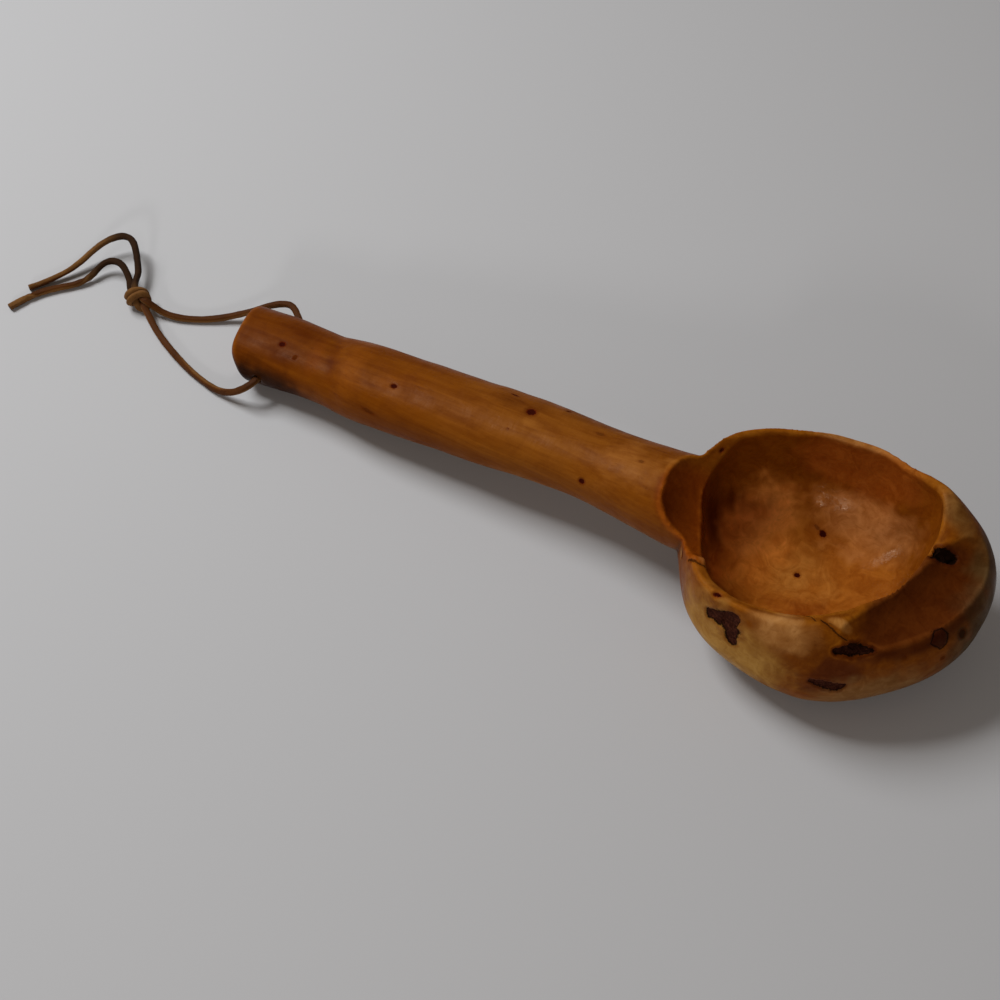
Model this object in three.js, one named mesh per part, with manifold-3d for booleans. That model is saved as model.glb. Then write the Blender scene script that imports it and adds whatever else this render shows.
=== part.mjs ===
// A ladle carved from one burl, with a leather thong through its handle, in millimetres and +Z up.
// The origin is the centre of the flat spot under the bowl. +X runs from the handle's butt to the bowl,
// and +Y to the side where the rim is thin. The ladle lies on that flat spot and on its butt's underside.
import * as THREE from 'three';
import { mergeVertices } from 'three/addons/utils/BufferGeometryUtils.js';
import Module from 'manifold-3d';

const wasm = await Module();
wasm.setup();

// Bowl. Lists give sizes at equal steps round the cup's centre, counterclockwise from +X.
const CUP_CENTRE = new THREE.Vector2(-15, 5);
const MOUTH_RADIUS = [
  47.5, 51, 56, 60, 53, 50, 46.5, 46, 46, 48.5, 51, 50, 48, 44.5, 43.5, 45, 48.5, 49, 48.5, 48, 46.5, 45, 44, 46,
];
const RIM_HEIGHT = [52, 55, 58, 59, 59, 58, 56, 50, 51, 54.5, 54.5, 52.5];
const LIP_WIDTH = [5, 4.5, 1.8, 1.8, 1.6, 2.4, 7.5, 4, 4, 4, 4, 5];
const BELLY_RADIUS = [79.5, 80.5, 57, 53, 50, 56, 56, 52, 55, 57.5, 65, 70.5];
const BELLY_HEIGHT = [30, 33, 36, 38, 38, 36, 32, 28, 26, 25, 25, 27];
const FOOT_HALF_LENGTH = 20;
const FOOT_HALF_WIDTH = 17;
const FLOOR_THICKNESS = 11;
const LIP_FALL = 1.2;
const UNDERSIDE_FULLNESS = 2.1;
const SHOULDER_FULLNESS = 2.0;
const HOLLOW_FULLNESS = 2.7;

// Handle. Lists give sizes every HANDLE_STEP from the butt; the last one lies inside the bowl's wall.
const HANDLE_LENGTH = 250;
const ROOT_DEPTH = 16;
const HANDLE_STEP = 24;
const HALF_WIDTH = [19, 18.9, 17.8, 19.8, 20, 19.7, 19.6, 18.6, 17.8, 19, 21];
const HALF_THICKNESS = [14, 14, 13.6, 15, 15.2, 15, 15, 14.6, 15, 17, 19];
const SIDE_SWAY = [0, 1, 1.2, 1.2, 1.6, 2.4, 3.4, 4, 3.2, 1.6, 0.6];
const RISE_PER_MM = 0.108;
const HANDLE_FULLNESS = 2.3;
const BUTT_ROUND = 2.5;
const BUTT_CORNER_ROUND = 14;
const BUTT_CORNER_TURN = 0.57;

// Cuts of the carver's gouge. Each is a stretched ball. A cut is placed, from the cup's centre, by the point
// where the ball lies square to the given tilt from upright, and the tilt leans toward the heading.
const ROOT_SCOOP = { place: [-25, -6, 39.4], radii: [48.5, 48.5, 48.5], heading: 0, tilt: 0 };
const FRONT_SCOOP = { place: [-35, -14, 38.4], radii: [27.5, 27.5, 27.5], heading: 0, tilt: 0 };
const RIM_FACET = { place: [53.2, -4, 46.7], radii: [22, 90, 22], heading: -21, tilt: 28 };

// Thong and its hole. A route is a list of points: x from the hole, y from the ladle's middle plane, and z
// from the surface that the ladle lies on.
const THONG_THICKNESS = 3.3;
const BORE_CLEARANCE = 0.5;
const BORE_FROM_BUTT = 20;
const BORE_HEIGHT = 13.5;
const END_GAP = 0.3;
const FRONT_LEG = [
  [-1.2, -22.2, 12.9], [-4, -23.8, 10.4], [-9, -25, 6.4], [-15.5, -25.6, 3.4], [-23, -25, 2.1],
  [-36, -22, 1.8], [-49, -17.4, 1.8], [-60, -12.6, 1.8], [-69, -8.2, 2.4], [-76, -4.8, 3.7],
];
const BACK_LEG = [
  [-1.6, 23.6, 13.5], [-5.5, 28.2, 13.2], [-11, 31.4, 12.6], [-16.6, 32.2, 11.8], [-24.5, 29.4, 9.8],
  [-34.8, 22.6, 5.4], [-45, 15.4, 2.6], [-54, 9.4, 1.8], [-64, 4.6, 1.9], [-72, 2.6, 2.8], [-77, 2.2, 4],
];
const LONG_TAIL = [
  [-97, 15.4, 7.4], [-101.5, 20.8, 9.4], [-106.5, 26, 10.8], [-111.5, 29.8, 11.3], [-116.5, 30.2, 11.2],
  [-120.6, 27.2, 10.6], [-124, 22.4, 9.4], [-126.6, 16, 7.4], [-128.6, 9, 5.2], [-131, 2.2, 3.6],
  [-134.4, -4.4, 2.5], [-138, -10.8, 1.9], [-142, -17, 1.75],
];
const SHORT_TAIL = [
  [-98.5, 9.8, 6], [-102.8, 13, 7.2], [-107, 15.2, 8], [-111.5, 15.8, 8], [-115.6, 14.4, 7],
  [-118, 11, 5.4], [-118.8, 6.8, 3.9], [-120, 2.4, 2.6], [-123.2, -2.8, 1.8], [-128, -8.2, 1.75],
  [-133, -14, 1.75], [-136.6, -20, 1.75], [-139.4, -26.4, 1.75], [-141.4, -32.6, 1.75],
];

// The knot that both strands make together: a tight core with two turns wrapped side by side round it.
// The strands meet it at these headings.
const KNOT_PLACE = [-87.3, 1.6];
const KNOT_RADIUS = 5.2;
const WRAP_PROUD = 0.5;
const WRAP_HEADING = 152;
const FRONT_LEG_HEADING = -38;
const BACK_LEG_HEADING = 4;
const LONG_TAIL_HEADING = 116;
const SHORT_TAIL_HEADING = 155;

// How finely the shapes are cut into faces.
const BOWL_FACES = 72;
const BOWL_RINGS = 9;
const HANDLE_FACES = 28;
const HANDLE_RINGS = 30;
const GOUGE_FACES = 48;
const BORE_FACES = 20;
const THONG_FACES = 8;
const THONG_STEP = 2 * THONG_THICKNESS;
const KNOT_FACES = 20;
const STRAND_DIVISIONS = 20;

const TURN = 2 * Math.PI;

// The smooth value between four equally spaced ones, at a fraction between the middle two.
function ease(a, b, c, d, f) {
  return b + 0.5 * f * (c - a + f * (2 * a - 5 * b + 4 * c - d + f * (3 * (b - c) + d - a)));
}

// A size at an angle, from sizes at equal steps round.
function around(sizes, angle) {
  const n = sizes.length;
  const place = (((angle / TURN) * n) % n + n) % n;
  const i = Math.floor(place);
  const [a, b, c, d] = [-1, 0, 1, 2].map((k) => sizes[(i + k + n) % n]);
  return ease(a, b, c, d, place - i);
}

// A size at a distance, from sizes at equal steps along.
function along(sizes, distance) {
  const last = sizes.length - 1;
  const place = THREE.MathUtils.clamp(distance / HANDLE_STEP, 0, last);
  const i = Math.min(Math.floor(place), last - 1);
  const [a, b, c, d] = [-1, 0, 1, 2].map((k) => sizes[THREE.MathUtils.clamp(i + k, 0, last)]);
  return ease(a, b, c, d, place - i);
}

// The two shares of a superellipse's quarter at an angle from its start; a fullness of 2 is round.
function quarter(angle, fullness) {
  const power = 2 / fullness;
  const swing = (value) => Math.sign(value) * Math.abs(value) ** power;
  return [swing(Math.cos(angle)), swing(Math.sin(angle))];
}

// A closed geometry from rings of points that run counterclockwise as seen from the last ring's side.
function lofted(rings) {
  const n = rings[0].length;
  const middle = (ring) => ring.reduce((sum, p) => sum.add(p), new THREE.Vector3()).divideScalar(n);
  const points = [...rings.flat(), middle(rings[0]), middle(rings.at(-1))];
  const first = rings.length * n;
  const top = (rings.length - 1) * n;
  const faces = [];
  for (let j = 0; j < n; j += 1) {
    const k = (j + 1) % n;
    faces.push(first, k, j, first + 1, top + j, top + k);
    for (let i = 0; i < top; i += n) {
      faces.push(i + j, i + k, i + n + k, i + j, i + n + k, i + n + j);
    }
  }
  return new THREE.BufferGeometry().setFromPoints(points).setIndex(faces);
}

// A geometry as a manifold-3d solid, and back.
function solidOf(geometry) {
  const bare = geometry.clone();
  bare.deleteAttribute('normal');
  bare.deleteAttribute('uv');
  const { attributes, index } = mergeVertices(bare, 1e-4);
  const triVerts = new Uint32Array(index.array);
  const vertProperties = attributes.position.array;
  return new wasm.Manifold(new wasm.Mesh({ numProp: 3, vertProperties, triVerts }));
}

function geometryOf(solid) {
  const { vertProperties, triVerts } = solid.getMesh();
  const geometry = new THREE.BufferGeometry();
  geometry.setAttribute('position', new THREE.BufferAttribute(vertProperties, 3));
  geometry.setIndex(new THREE.BufferAttribute(triVerts, 1));
  geometry.computeVertexNormals();
  return geometry;
}

// Bowl

// A ring round the bowl: shape(angle) gives a radius from the cup's centre and a height.
function bowlRing(shape) {
  return Array.from({ length: BOWL_FACES }, (_, j) => {
    const angle = (j / BOWL_FACES) * TURN;
    const [radius, height] = shape(angle);
    return new THREE.Vector3(
      CUP_CENTRE.x + radius * Math.cos(angle),
      CUP_CENTRE.y + radius * Math.sin(angle),
      height,
    );
  });
}

// The foot is an ellipse about the origin; this is its edge's distance from the cup's centre.
function footRadius(angle) {
  const [dx, dy] = [Math.cos(angle) / FOOT_HALF_LENGTH, Math.sin(angle) / FOOT_HALF_WIDTH];
  const [cx, cy] = [CUP_CENTRE.x / FOOT_HALF_LENGTH, CUP_CENTRE.y / FOOT_HALF_WIDTH];
  const a = dx * dx + dy * dy;
  const b = dx * cx + dy * cy;
  return (Math.sqrt(b * b - a * (cx * cx + cy * cy - 1)) - b) / a;
}

function crestRadius(angle) {
  return around(MOUTH_RADIUS, angle) + around(LIP_WIDTH, angle);
}

// The burl's outside: up from the foot round the belly to the crest of the lip, closed across the mouth.
function burl() {
  const rings = [];
  for (let i = 0; i <= BOWL_RINGS; i += 1) {
    const [fall, swell] = quarter((i / BOWL_RINGS) * (TURN / 4), UNDERSIDE_FULLNESS);
    rings.push(bowlRing((angle) => {
      const foot = footRadius(angle);
      return [foot + (around(BELLY_RADIUS, angle) - foot) * swell, around(BELLY_HEIGHT, angle) * (1 - fall)];
    }));
  }
  for (let i = 1; i <= BOWL_RINGS; i += 1) {
    const [out, up] = quarter((i / BOWL_RINGS) * (TURN / 4), SHOULDER_FULLNESS);
    rings.push(bowlRing((angle) => {
      const crest = crestRadius(angle);
      const belly = around(BELLY_HEIGHT, angle);
      return [
        crest + (around(BELLY_RADIUS, angle) - crest) * out,
        belly + (around(RIM_HEIGHT, angle) - belly) * up,
      ];
    }));
  }
  rings.push(bowlRing((angle) => [around(MOUTH_RADIUS, angle), around(RIM_HEIGHT, angle) - LIP_FALL]));
  return lofted(rings);
}

// The hollow, from its floor up past the rim.
function hollow() {
  const rings = [];
  for (let i = 1; i <= BOWL_RINGS; i += 1) {
    const [fall, spread] = quarter((i / BOWL_RINGS) * (TURN / 4), HOLLOW_FULLNESS);
    rings.push(bowlRing((angle) => {
      const rim = around(RIM_HEIGHT, angle);
      return [around(MOUTH_RADIUS, angle) * spread, rim - (rim - FLOOR_THICKNESS) * fall];
    }));
  }
  rings.push(bowlRing((angle) => [around(MOUTH_RADIUS, angle), 2 * around(RIM_HEIGHT, angle)]));
  return lofted(rings);
}

// Handle

const BUTT_X = CUP_CENTRE.x - around(BELLY_RADIUS, TURN / 2) + ROOT_DEPTH - HANDLE_LENGTH;

function handleCentre(distance) {
  return new THREE.Vector3(
    BUTT_X + distance,
    along(SIDE_SWAY, distance),
    HALF_THICKNESS[0] + RISE_PER_MM * distance,
  );
}

// How far an edge that is rounded by a radius stands back at a distance from the end.
function roundedBack(distance, radius) {
  return distance >= radius ? 0 : radius - Math.sqrt(radius ** 2 - (radius - distance) ** 2);
}

// One ring of the handle. The butt's edge is rounded, and most at its lower front corner.
function handleRing(distance) {
  const centre = handleCentre(distance);
  return Array.from({ length: HANDLE_FACES }, (_, j) => {
    const angle = (j / HANDLE_FACES) * TURN;
    const [across, up] = quarter(angle, HANDLE_FULLNESS);
    const corner = Math.max(0, Math.cos(angle - BUTT_CORNER_TURN * TURN)) ** 2;
    const back = roundedBack(distance, BUTT_ROUND + (BUTT_CORNER_ROUND - BUTT_ROUND) * corner);
    return new THREE.Vector3(
      centre.x,
      centre.y + (along(HALF_WIDTH, distance) - back) * across,
      centre.z + (along(HALF_THICKNESS, distance) - back) * up,
    );
  });
}

function handle() {
  const rounding = [0, 0.06, 0.2, 0.45, 0.7, 1].map((share) => share * BUTT_CORNER_ROUND);
  const rest = Array.from({ length: HANDLE_RINGS }, (_, i) => {
    const share = (i + 1) / HANDLE_RINGS;
    return BUTT_CORNER_ROUND + share * (HANDLE_LENGTH - BUTT_CORNER_ROUND);
  });
  return lofted([...rounding, ...rest].map(handleRing));
}

// Cuts

function gouge({ place, radii, heading, tilt }) {
  return new THREE.SphereGeometry(1, GOUGE_FACES, GOUGE_FACES / 2)
    .scale(...radii)
    .translate(0, 0, radii[2])
    .rotateY(THREE.MathUtils.degToRad(tilt))
    .rotateZ(THREE.MathUtils.degToRad(heading))
    .translate(CUP_CENTRE.x, CUP_CENTRE.y, 0)
    .translate(...place);
}

const BORE_X = BUTT_X + BORE_FROM_BUTT;

function bore() {
  const radius = THONG_THICKNESS / 2 + BORE_CLEARANCE;
  const length = 4 * along(HALF_WIDTH, BORE_FROM_BUTT);
  return new THREE.CylinderGeometry(radius, radius, length, BORE_FACES).translate(BORE_X, 0, BORE_HEIGHT);
}

function ladleBody() {
  const whole = solidOf(burl()).add(solidOf(handle()));
  return [hollow(), gouge(ROOT_SCOOP), gouge(FRONT_SCOOP), gouge(RIM_FACET), bore()]
    .reduce((left, cut) => left.subtract(solidOf(cut)), whole);
}

// Thong

const UP = new THREE.Vector3(0, 0, 1);
const KNOT_CENTRE = new THREE.Vector3(
  BORE_X + KNOT_PLACE[0],
  KNOT_PLACE[1],
  KNOT_RADIUS + WRAP_PROUD + END_GAP / 2,
);

// The part of a curve from one distance along it to another.
class Stretch extends THREE.Curve {
  constructor(whole, start, end) {
    super();
    Object.assign(this, { whole, start, end });
  }

  getPoint(share, target) {
    const distance = THREE.MathUtils.lerp(this.start, this.end, share);
    return this.whole.getPointAt(distance / this.whole.getLength(), target);
  }
}

// A smooth strand through points.
function strand(points) {
  const curve = new THREE.CatmullRomCurve3(points);
  curve.arcLengthDivisions = STRAND_DIVISIONS * (points.length - 1);
  return curve;
}

// How far along a strand one of its points lies.
function distanceTo(curve, index) {
  return curve.getLengths()[STRAND_DIVISIONS * index];
}

// The end of a strand at the knot: a point just clear of it, then one further out so that it meets it square.
function knotEnd(heading) {
  const out = new THREE.Vector3(1, 0, 0).applyAxisAngle(UP, THREE.MathUtils.degToRad(heading));
  return [KNOT_RADIUS + END_GAP, KNOT_RADIUS + THONG_THICKNESS / 2]
    .map((distance) => KNOT_CENTRE.clone().addScaledVector(out, distance));
}

// A point of a route, from its x counted from the hole.
function placed([x, y, z]) {
  return new THREE.Vector3(BORE_X + x, y, z);
}

// The middle of the hole's mouth on one side of the handle.
function mouth(side) {
  const reach = along(HALF_WIDTH, BORE_FROM_BUTT) + END_GAP;
  return new THREE.Vector3(BORE_X, along(SIDE_SWAY, BORE_FROM_BUTT) + side * reach, BORE_HEIGHT);
}

// A round tube along a curve.
function tube(curve) {
  const corners = Array.from({ length: THONG_FACES }, (_, i) => {
    const angle = (i / THONG_FACES) * TURN;
    return new THREE.Vector2(Math.cos(angle), Math.sin(angle)).multiplyScalar(THONG_THICKNESS / 2);
  });
  return new THREE.ExtrudeGeometry(new THREE.Shape(corners), {
    steps: Math.round(curve.getLength() / THONG_STEP),
    bevelEnabled: false,
    extrudePath: curve,
  });
}

function knot() {
  const wrapRadius = KNOT_RADIUS + WRAP_PROUD - THONG_THICKNESS / 2;
  const wraps = [-0.5, 0.5].map((side) => (
    new THREE.TorusGeometry(wrapRadius, THONG_THICKNESS / 2, THONG_FACES, KNOT_FACES)
      .translate(0, 0, side * THONG_THICKNESS)
      .rotateY(TURN / 4)
      .rotateZ(THREE.MathUtils.degToRad(WRAP_HEADING))
  ));
  const core = solidOf(new THREE.SphereGeometry(KNOT_RADIUS, KNOT_FACES, KNOT_FACES / 2));
  return geometryOf(wraps.reduce((whole, wrap) => whole.add(solidOf(wrap)), core)).translate(...KNOT_CENTRE);
}

// The strand from the knot up one side, through the hole and down the other, cut at the hole's mouths.
function loopStretches() {
  const front = [...knotEnd(FRONT_LEG_HEADING), ...FRONT_LEG.toReversed().map(placed), mouth(-1)];
  const back = [mouth(1), ...BACK_LEG.map(placed), ...knotEnd(BACK_LEG_HEADING).toReversed()];
  const middle = new THREE.Vector3(BORE_X, 0, BORE_HEIGHT);
  const loop = strand([...front, middle, ...back]);
  const frontMouth = distanceTo(loop, front.length - 1);
  const backMouth = distanceTo(loop, front.length + 1);
  return {
    thong_front_leg: new Stretch(loop, 0, frontMouth - END_GAP / 2),
    thong_bore_stretch: new Stretch(loop, frontMouth + END_GAP / 2, backMouth - END_GAP / 2),
    thong_back_leg: new Stretch(loop, backMouth + END_GAP / 2, loop.getLength()),
  };
}

function tails() {
  return {
    thong_long_tail: strand([...knotEnd(LONG_TAIL_HEADING), ...LONG_TAIL.map(placed)]),
    thong_short_tail: strand([...knotEnd(SHORT_TAIL_HEADING), ...SHORT_TAIL.map(placed)]),
  };
}

// The scene

const wood = { color: 0x9c5a22, roughness: 0.42, metalness: 0 };
const leather = { color: 0x6e4a26, roughness: 0.85, metalness: 0 };

function piece(name, geometry, finish) {
  const mesh = new THREE.Mesh(geometry, new THREE.MeshStandardMaterial(finish));
  mesh.name = name;
  return mesh;
}

const ladle = new THREE.Group();
ladle.add(piece('ladle_body', geometryOf(ladleBody()), wood));
ladle.add(piece('thong_knot', knot(), leather));
for (const [name, curve] of Object.entries({ ...loopStretches(), ...tails() })) {
  ladle.add(piece(name, tube(curve), leather));
  console.log(name, `${curve.getLength().toFixed(1)} mm`);
}

export default ladle;
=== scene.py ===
"""A ladle carved from one burl, with a leather lace tied through its handle, dressed on its CAD frame.

Sizes are in millimetres in the classes, and become metres where a mesh is made. The frame is the
CAD's: X runs from the butt to the bowl, Y to the thin back rim, Z up, with the floor at 0.
"""

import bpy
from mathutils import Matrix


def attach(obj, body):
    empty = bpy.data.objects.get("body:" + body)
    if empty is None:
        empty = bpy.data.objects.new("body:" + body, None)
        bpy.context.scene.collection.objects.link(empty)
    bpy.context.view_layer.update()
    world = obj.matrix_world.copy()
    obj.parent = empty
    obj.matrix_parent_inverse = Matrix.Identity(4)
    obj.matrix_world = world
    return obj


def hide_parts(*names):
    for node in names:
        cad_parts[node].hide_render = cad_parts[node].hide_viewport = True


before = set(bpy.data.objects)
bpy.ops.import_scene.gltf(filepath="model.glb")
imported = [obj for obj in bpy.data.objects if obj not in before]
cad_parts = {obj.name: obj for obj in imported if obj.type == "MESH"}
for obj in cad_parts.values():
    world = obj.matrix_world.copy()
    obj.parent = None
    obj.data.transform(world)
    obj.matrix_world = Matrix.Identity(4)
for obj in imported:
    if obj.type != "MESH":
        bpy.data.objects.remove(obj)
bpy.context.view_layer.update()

import logging
import math
from dataclasses import dataclass, field
from enum import Enum

import bpy
import numpy as np
from mathutils import Euler, Vector

log = logging.getLogger("ladle")

MM = 0.001
TAU = 2 * math.pi
Point = tuple[float, float, float]
Rgb = tuple[int, int, int]


def linear(colour: Rgb) -> tuple[float, float, float, float]:
    """Turn a colour as it is seen on a screen, 0 to 255, into a shader's linear colour.

    Args:
        colour: Red, green and blue, each from 0 to 255.

    Returns:
        The linear red, green and blue, with an alpha of 1.
    """
    def channel(value: float) -> float:
        """Return one linear channel."""
        share = value / 255
        return share / 12.92 if share <= 0.04045 else ((share + 0.055) / 1.055) ** 2.4

    red, green, blue = (channel(value) for value in colour)
    return (red, green, blue, 1.0)


# Curves and lofts


def eased(
    before: np.ndarray, start: np.ndarray, end: np.ndarray, after: np.ndarray, share: np.ndarray
) -> np.ndarray:
    """Run smoothly from one size to the next, with their neighbours giving the slopes.

    Args:
        before: The size before the start.
        start: The size at share 0.
        end: The size at share 1.
        after: The size after the end.
        share: How far along, from 0 to 1.

    Returns:
        The size at each share.
    """
    slope = end - before
    bend = 2 * before - 5 * start + 4 * end - after
    turn = 3 * (start - end) + after - before
    return start + 0.5 * share * (slope + share * (bend + share * turn))


def around(sizes: tuple[float, ...], angle: np.ndarray) -> np.ndarray:
    """Read a size at an angle, from sizes at equal steps round.

    Args:
        sizes: The sizes, the first at angle 0.
        angle: Angles in radians.

    Returns:
        The size at each angle.
    """
    values = np.asarray(sizes)
    place = (np.asarray(angle) / TAU * len(values)) % len(values)
    index = np.floor(place).astype(int)
    picked = [values[(index + step) % len(values)] for step in (-1, 0, 1, 2)]
    return eased(*picked, place - index)


def along(sizes: tuple[float, ...], distance: np.ndarray, step: float) -> np.ndarray:
    """Read a size at a distance, from sizes at equal steps along.

    Args:
        sizes: The sizes, the first at distance 0.
        distance: Distances in millimetres.
        step: The distance from one size to the next.

    Returns:
        The size at each distance.
    """
    values = np.asarray(sizes)
    last = len(values) - 1
    place = np.clip(np.asarray(distance, float) / step, 0, last)
    index = np.minimum(np.floor(place).astype(int), last - 1)
    picked = [values[np.clip(index + move, 0, last)] for move in (-1, 0, 1, 2)]
    return eased(*picked, place - index)


def quarter(angle: np.ndarray, fullness: float) -> tuple[np.ndarray, np.ndarray]:
    """Give the two shares of a superellipse at an angle.

    Args:
        angle: Angles in radians.
        fullness: 2 is round, and more is squarer.

    Returns:
        The shares along the cosine's and the sine's way.
    """
    power = 2 / fullness
    cosine, sine = np.cos(angle), np.sin(angle)
    return np.sign(cosine) * np.abs(cosine) ** power, np.sign(sine) * np.abs(sine) ** power


def smoothstep(low: float, high: float, value: np.ndarray) -> np.ndarray:
    """Rise from 0 to 1 between two values, without corners.

    Args:
        low: Where the rise starts.
        high: Where it ends.
        value: The values to read it at.

    Returns:
        The share at each value.
    """
    share = np.clip((value - low) / (high - low), 0, 1)
    return share * share * (3 - 2 * share)


def full_turn(count: int) -> np.ndarray:
    """Return evenly spaced angles once round, from 0."""
    return np.arange(count) / count * TAU


def length_of(points: np.ndarray) -> float:
    """Return the length of the line through the points."""
    return float(np.linalg.norm(np.diff(points, axis=0), axis=1).sum())


def resampled(points: np.ndarray, count: int) -> np.ndarray:
    """Spread points evenly along the line through given points.

    Args:
        points: The line's points, one a row.
        count: How many points to give back.

    Returns:
        The evenly spaced points.
    """
    steps = np.linalg.norm(np.diff(points, axis=0), axis=1)
    reach = np.concatenate([[0.0], np.cumsum(steps)])
    places = np.linspace(0, reach[-1], count)
    return np.stack([np.interp(places, reach, points[:, axis]) for axis in range(3)], axis=1)


def stepped(line: np.ndarray, step: float) -> np.ndarray:
    """Return points along a line that are about one step apart."""
    return resampled(line, max(2, round(length_of(line) / step) + 1))


def curved(points: np.ndarray, step: float, fine: int = 24) -> np.ndarray:
    """Run a smooth line through a route's points.

    Args:
        points: The route's points, one a row.
        step: The distance between the points given back.
        fine: How many points the curve has between two of the route's.

    Returns:
        The line's points.
    """
    stretches = []
    last = len(points) - 1
    share = np.linspace(0, 1, fine, endpoint=False)[:, None]
    for index in range(last):
        picked = [points[min(max(index + move, 0), last)] for move in (-1, 0, 1, 2)]
        stretches.append(eased(*picked, share))
    return stepped(np.concatenate([*stretches, points[-1:]]), step)


def smoothed(line: np.ndarray, rounds: int, share: float = 0.3) -> np.ndarray:
    """Smooth a line between its ends, which stay where they are.

    Args:
        line: The line's points, one a row.
        rounds: How many times to smooth it.
        share: How far each point goes towards its neighbours.

    Returns:
        The smoothed line.
    """
    line = line.copy()
    for _ in range(rounds):
        line[1:-1] += share * (line[:-2] + line[2:] - 2 * line[1:-1])
    return line


def linked(name: str, data: bpy.types.ID) -> bpy.types.Object:
    """Make an object and link it to the scene.

    Args:
        name: The object's name.
        data: Its mesh, camera or lamp.

    Returns:
        The object.
    """
    made = bpy.data.objects.new(name, data)
    bpy.context.scene.collection.objects.link(made)
    return made


def made_object(name: str, points: np.ndarray, faces: list[tuple[int, ...]]) -> bpy.types.Object:
    """Make a mesh object from points in millimetres.

    Args:
        name: The object's name.
        points: The corners, one a row.
        faces: The faces, each the numbers of its corners.

    Returns:
        The object, linked to the scene.
    """
    mesh = bpy.data.meshes.new(name)
    mesh.from_pydata((points * MM).tolist(), [], faces)
    mesh.validate()
    return linked(name, mesh)


def lofted(name: str, rings: np.ndarray) -> bpy.types.Object:
    """Close a skin over rings that run counterclockwise as seen from the last one's side.

    Args:
        name: The object's name.
        rings: The rings' points, as ring, point and axis.

    Returns:
        The closed object.
    """
    count, around_ring = rings.shape[:2]
    points = np.concatenate([rings.reshape(-1, 3), rings[0].mean(0)[None], rings[-1].mean(0)[None]])
    first, last = count * around_ring, count * around_ring + 1
    top = (count - 1) * around_ring
    faces: list[tuple[int, ...]] = []
    for here in range(around_ring):
        there = (here + 1) % around_ring
        faces += [(first, there, here), (last, top + here, top + there)]
        faces += [
            (low + here, low + there, low + around_ring + there, low + around_ring + here)
            for low in range(0, top, around_ring)
        ]
    return made_object(name, points, faces)


class Cut(Enum):
    """How one solid works on another."""

    JOIN = "UNION"
    TAKE_AWAY = "DIFFERENCE"


def baked_mesh(piece: bpy.types.Object) -> None:
    """Put what an object's modifiers make into its mesh, and drop the modifiers.

    Args:
        piece: The object.
    """
    graph = bpy.context.evaluated_depsgraph_get()
    graph.update()
    old = piece.data
    fresh = bpy.data.meshes.new_from_object(piece.evaluated_get(graph))
    piece.modifiers.clear()
    piece.data = fresh
    bpy.data.meshes.remove(old)


def worked(whole: bpy.types.Object, tool: bpy.types.Object, cut: Cut) -> None:
    """Join a solid to another or take it away, and use it up.

    Args:
        whole: The object that is changed.
        tool: The object that is joined or taken away.
        cut: Which of the two.
    """
    modifier = whole.modifiers.new("work", "BOOLEAN")
    modifier.object, modifier.operation, modifier.solver = tool, cut.value, "EXACT"
    baked_mesh(whole)
    mesh = tool.data
    bpy.data.objects.remove(tool)
    bpy.data.meshes.remove(mesh)


class Unevenness:
    """Smooth noise that is the same in each run, from seeded values on a lattice."""

    SIDE = 32

    def __init__(self, seed: int) -> None:
        """Draw the lattice's values from a seed."""
        self.values = np.random.default_rng(seed).uniform(-1, 1, (self.SIDE,) * 3)

    def at(self, points: np.ndarray, size: float) -> np.ndarray:
        """Read the noise at points.

        Args:
            points: Points in millimetres, one a row.
            size: The size of one lump in millimetres.

        Returns:
            A value from -1 to 1 for each point.
        """
        place = points / size
        index = np.floor(place).astype(int)
        share = smoothstep(0, 1, place - index)
        total = np.zeros(len(points))
        for corner in np.ndindex(2, 2, 2):
            weight = np.prod(np.where(corner, share, 1 - share), axis=1)
            x, y, z = ((index + corner) % self.SIDE).T
            total += weight * self.values[x, y, z]
        return total


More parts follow.
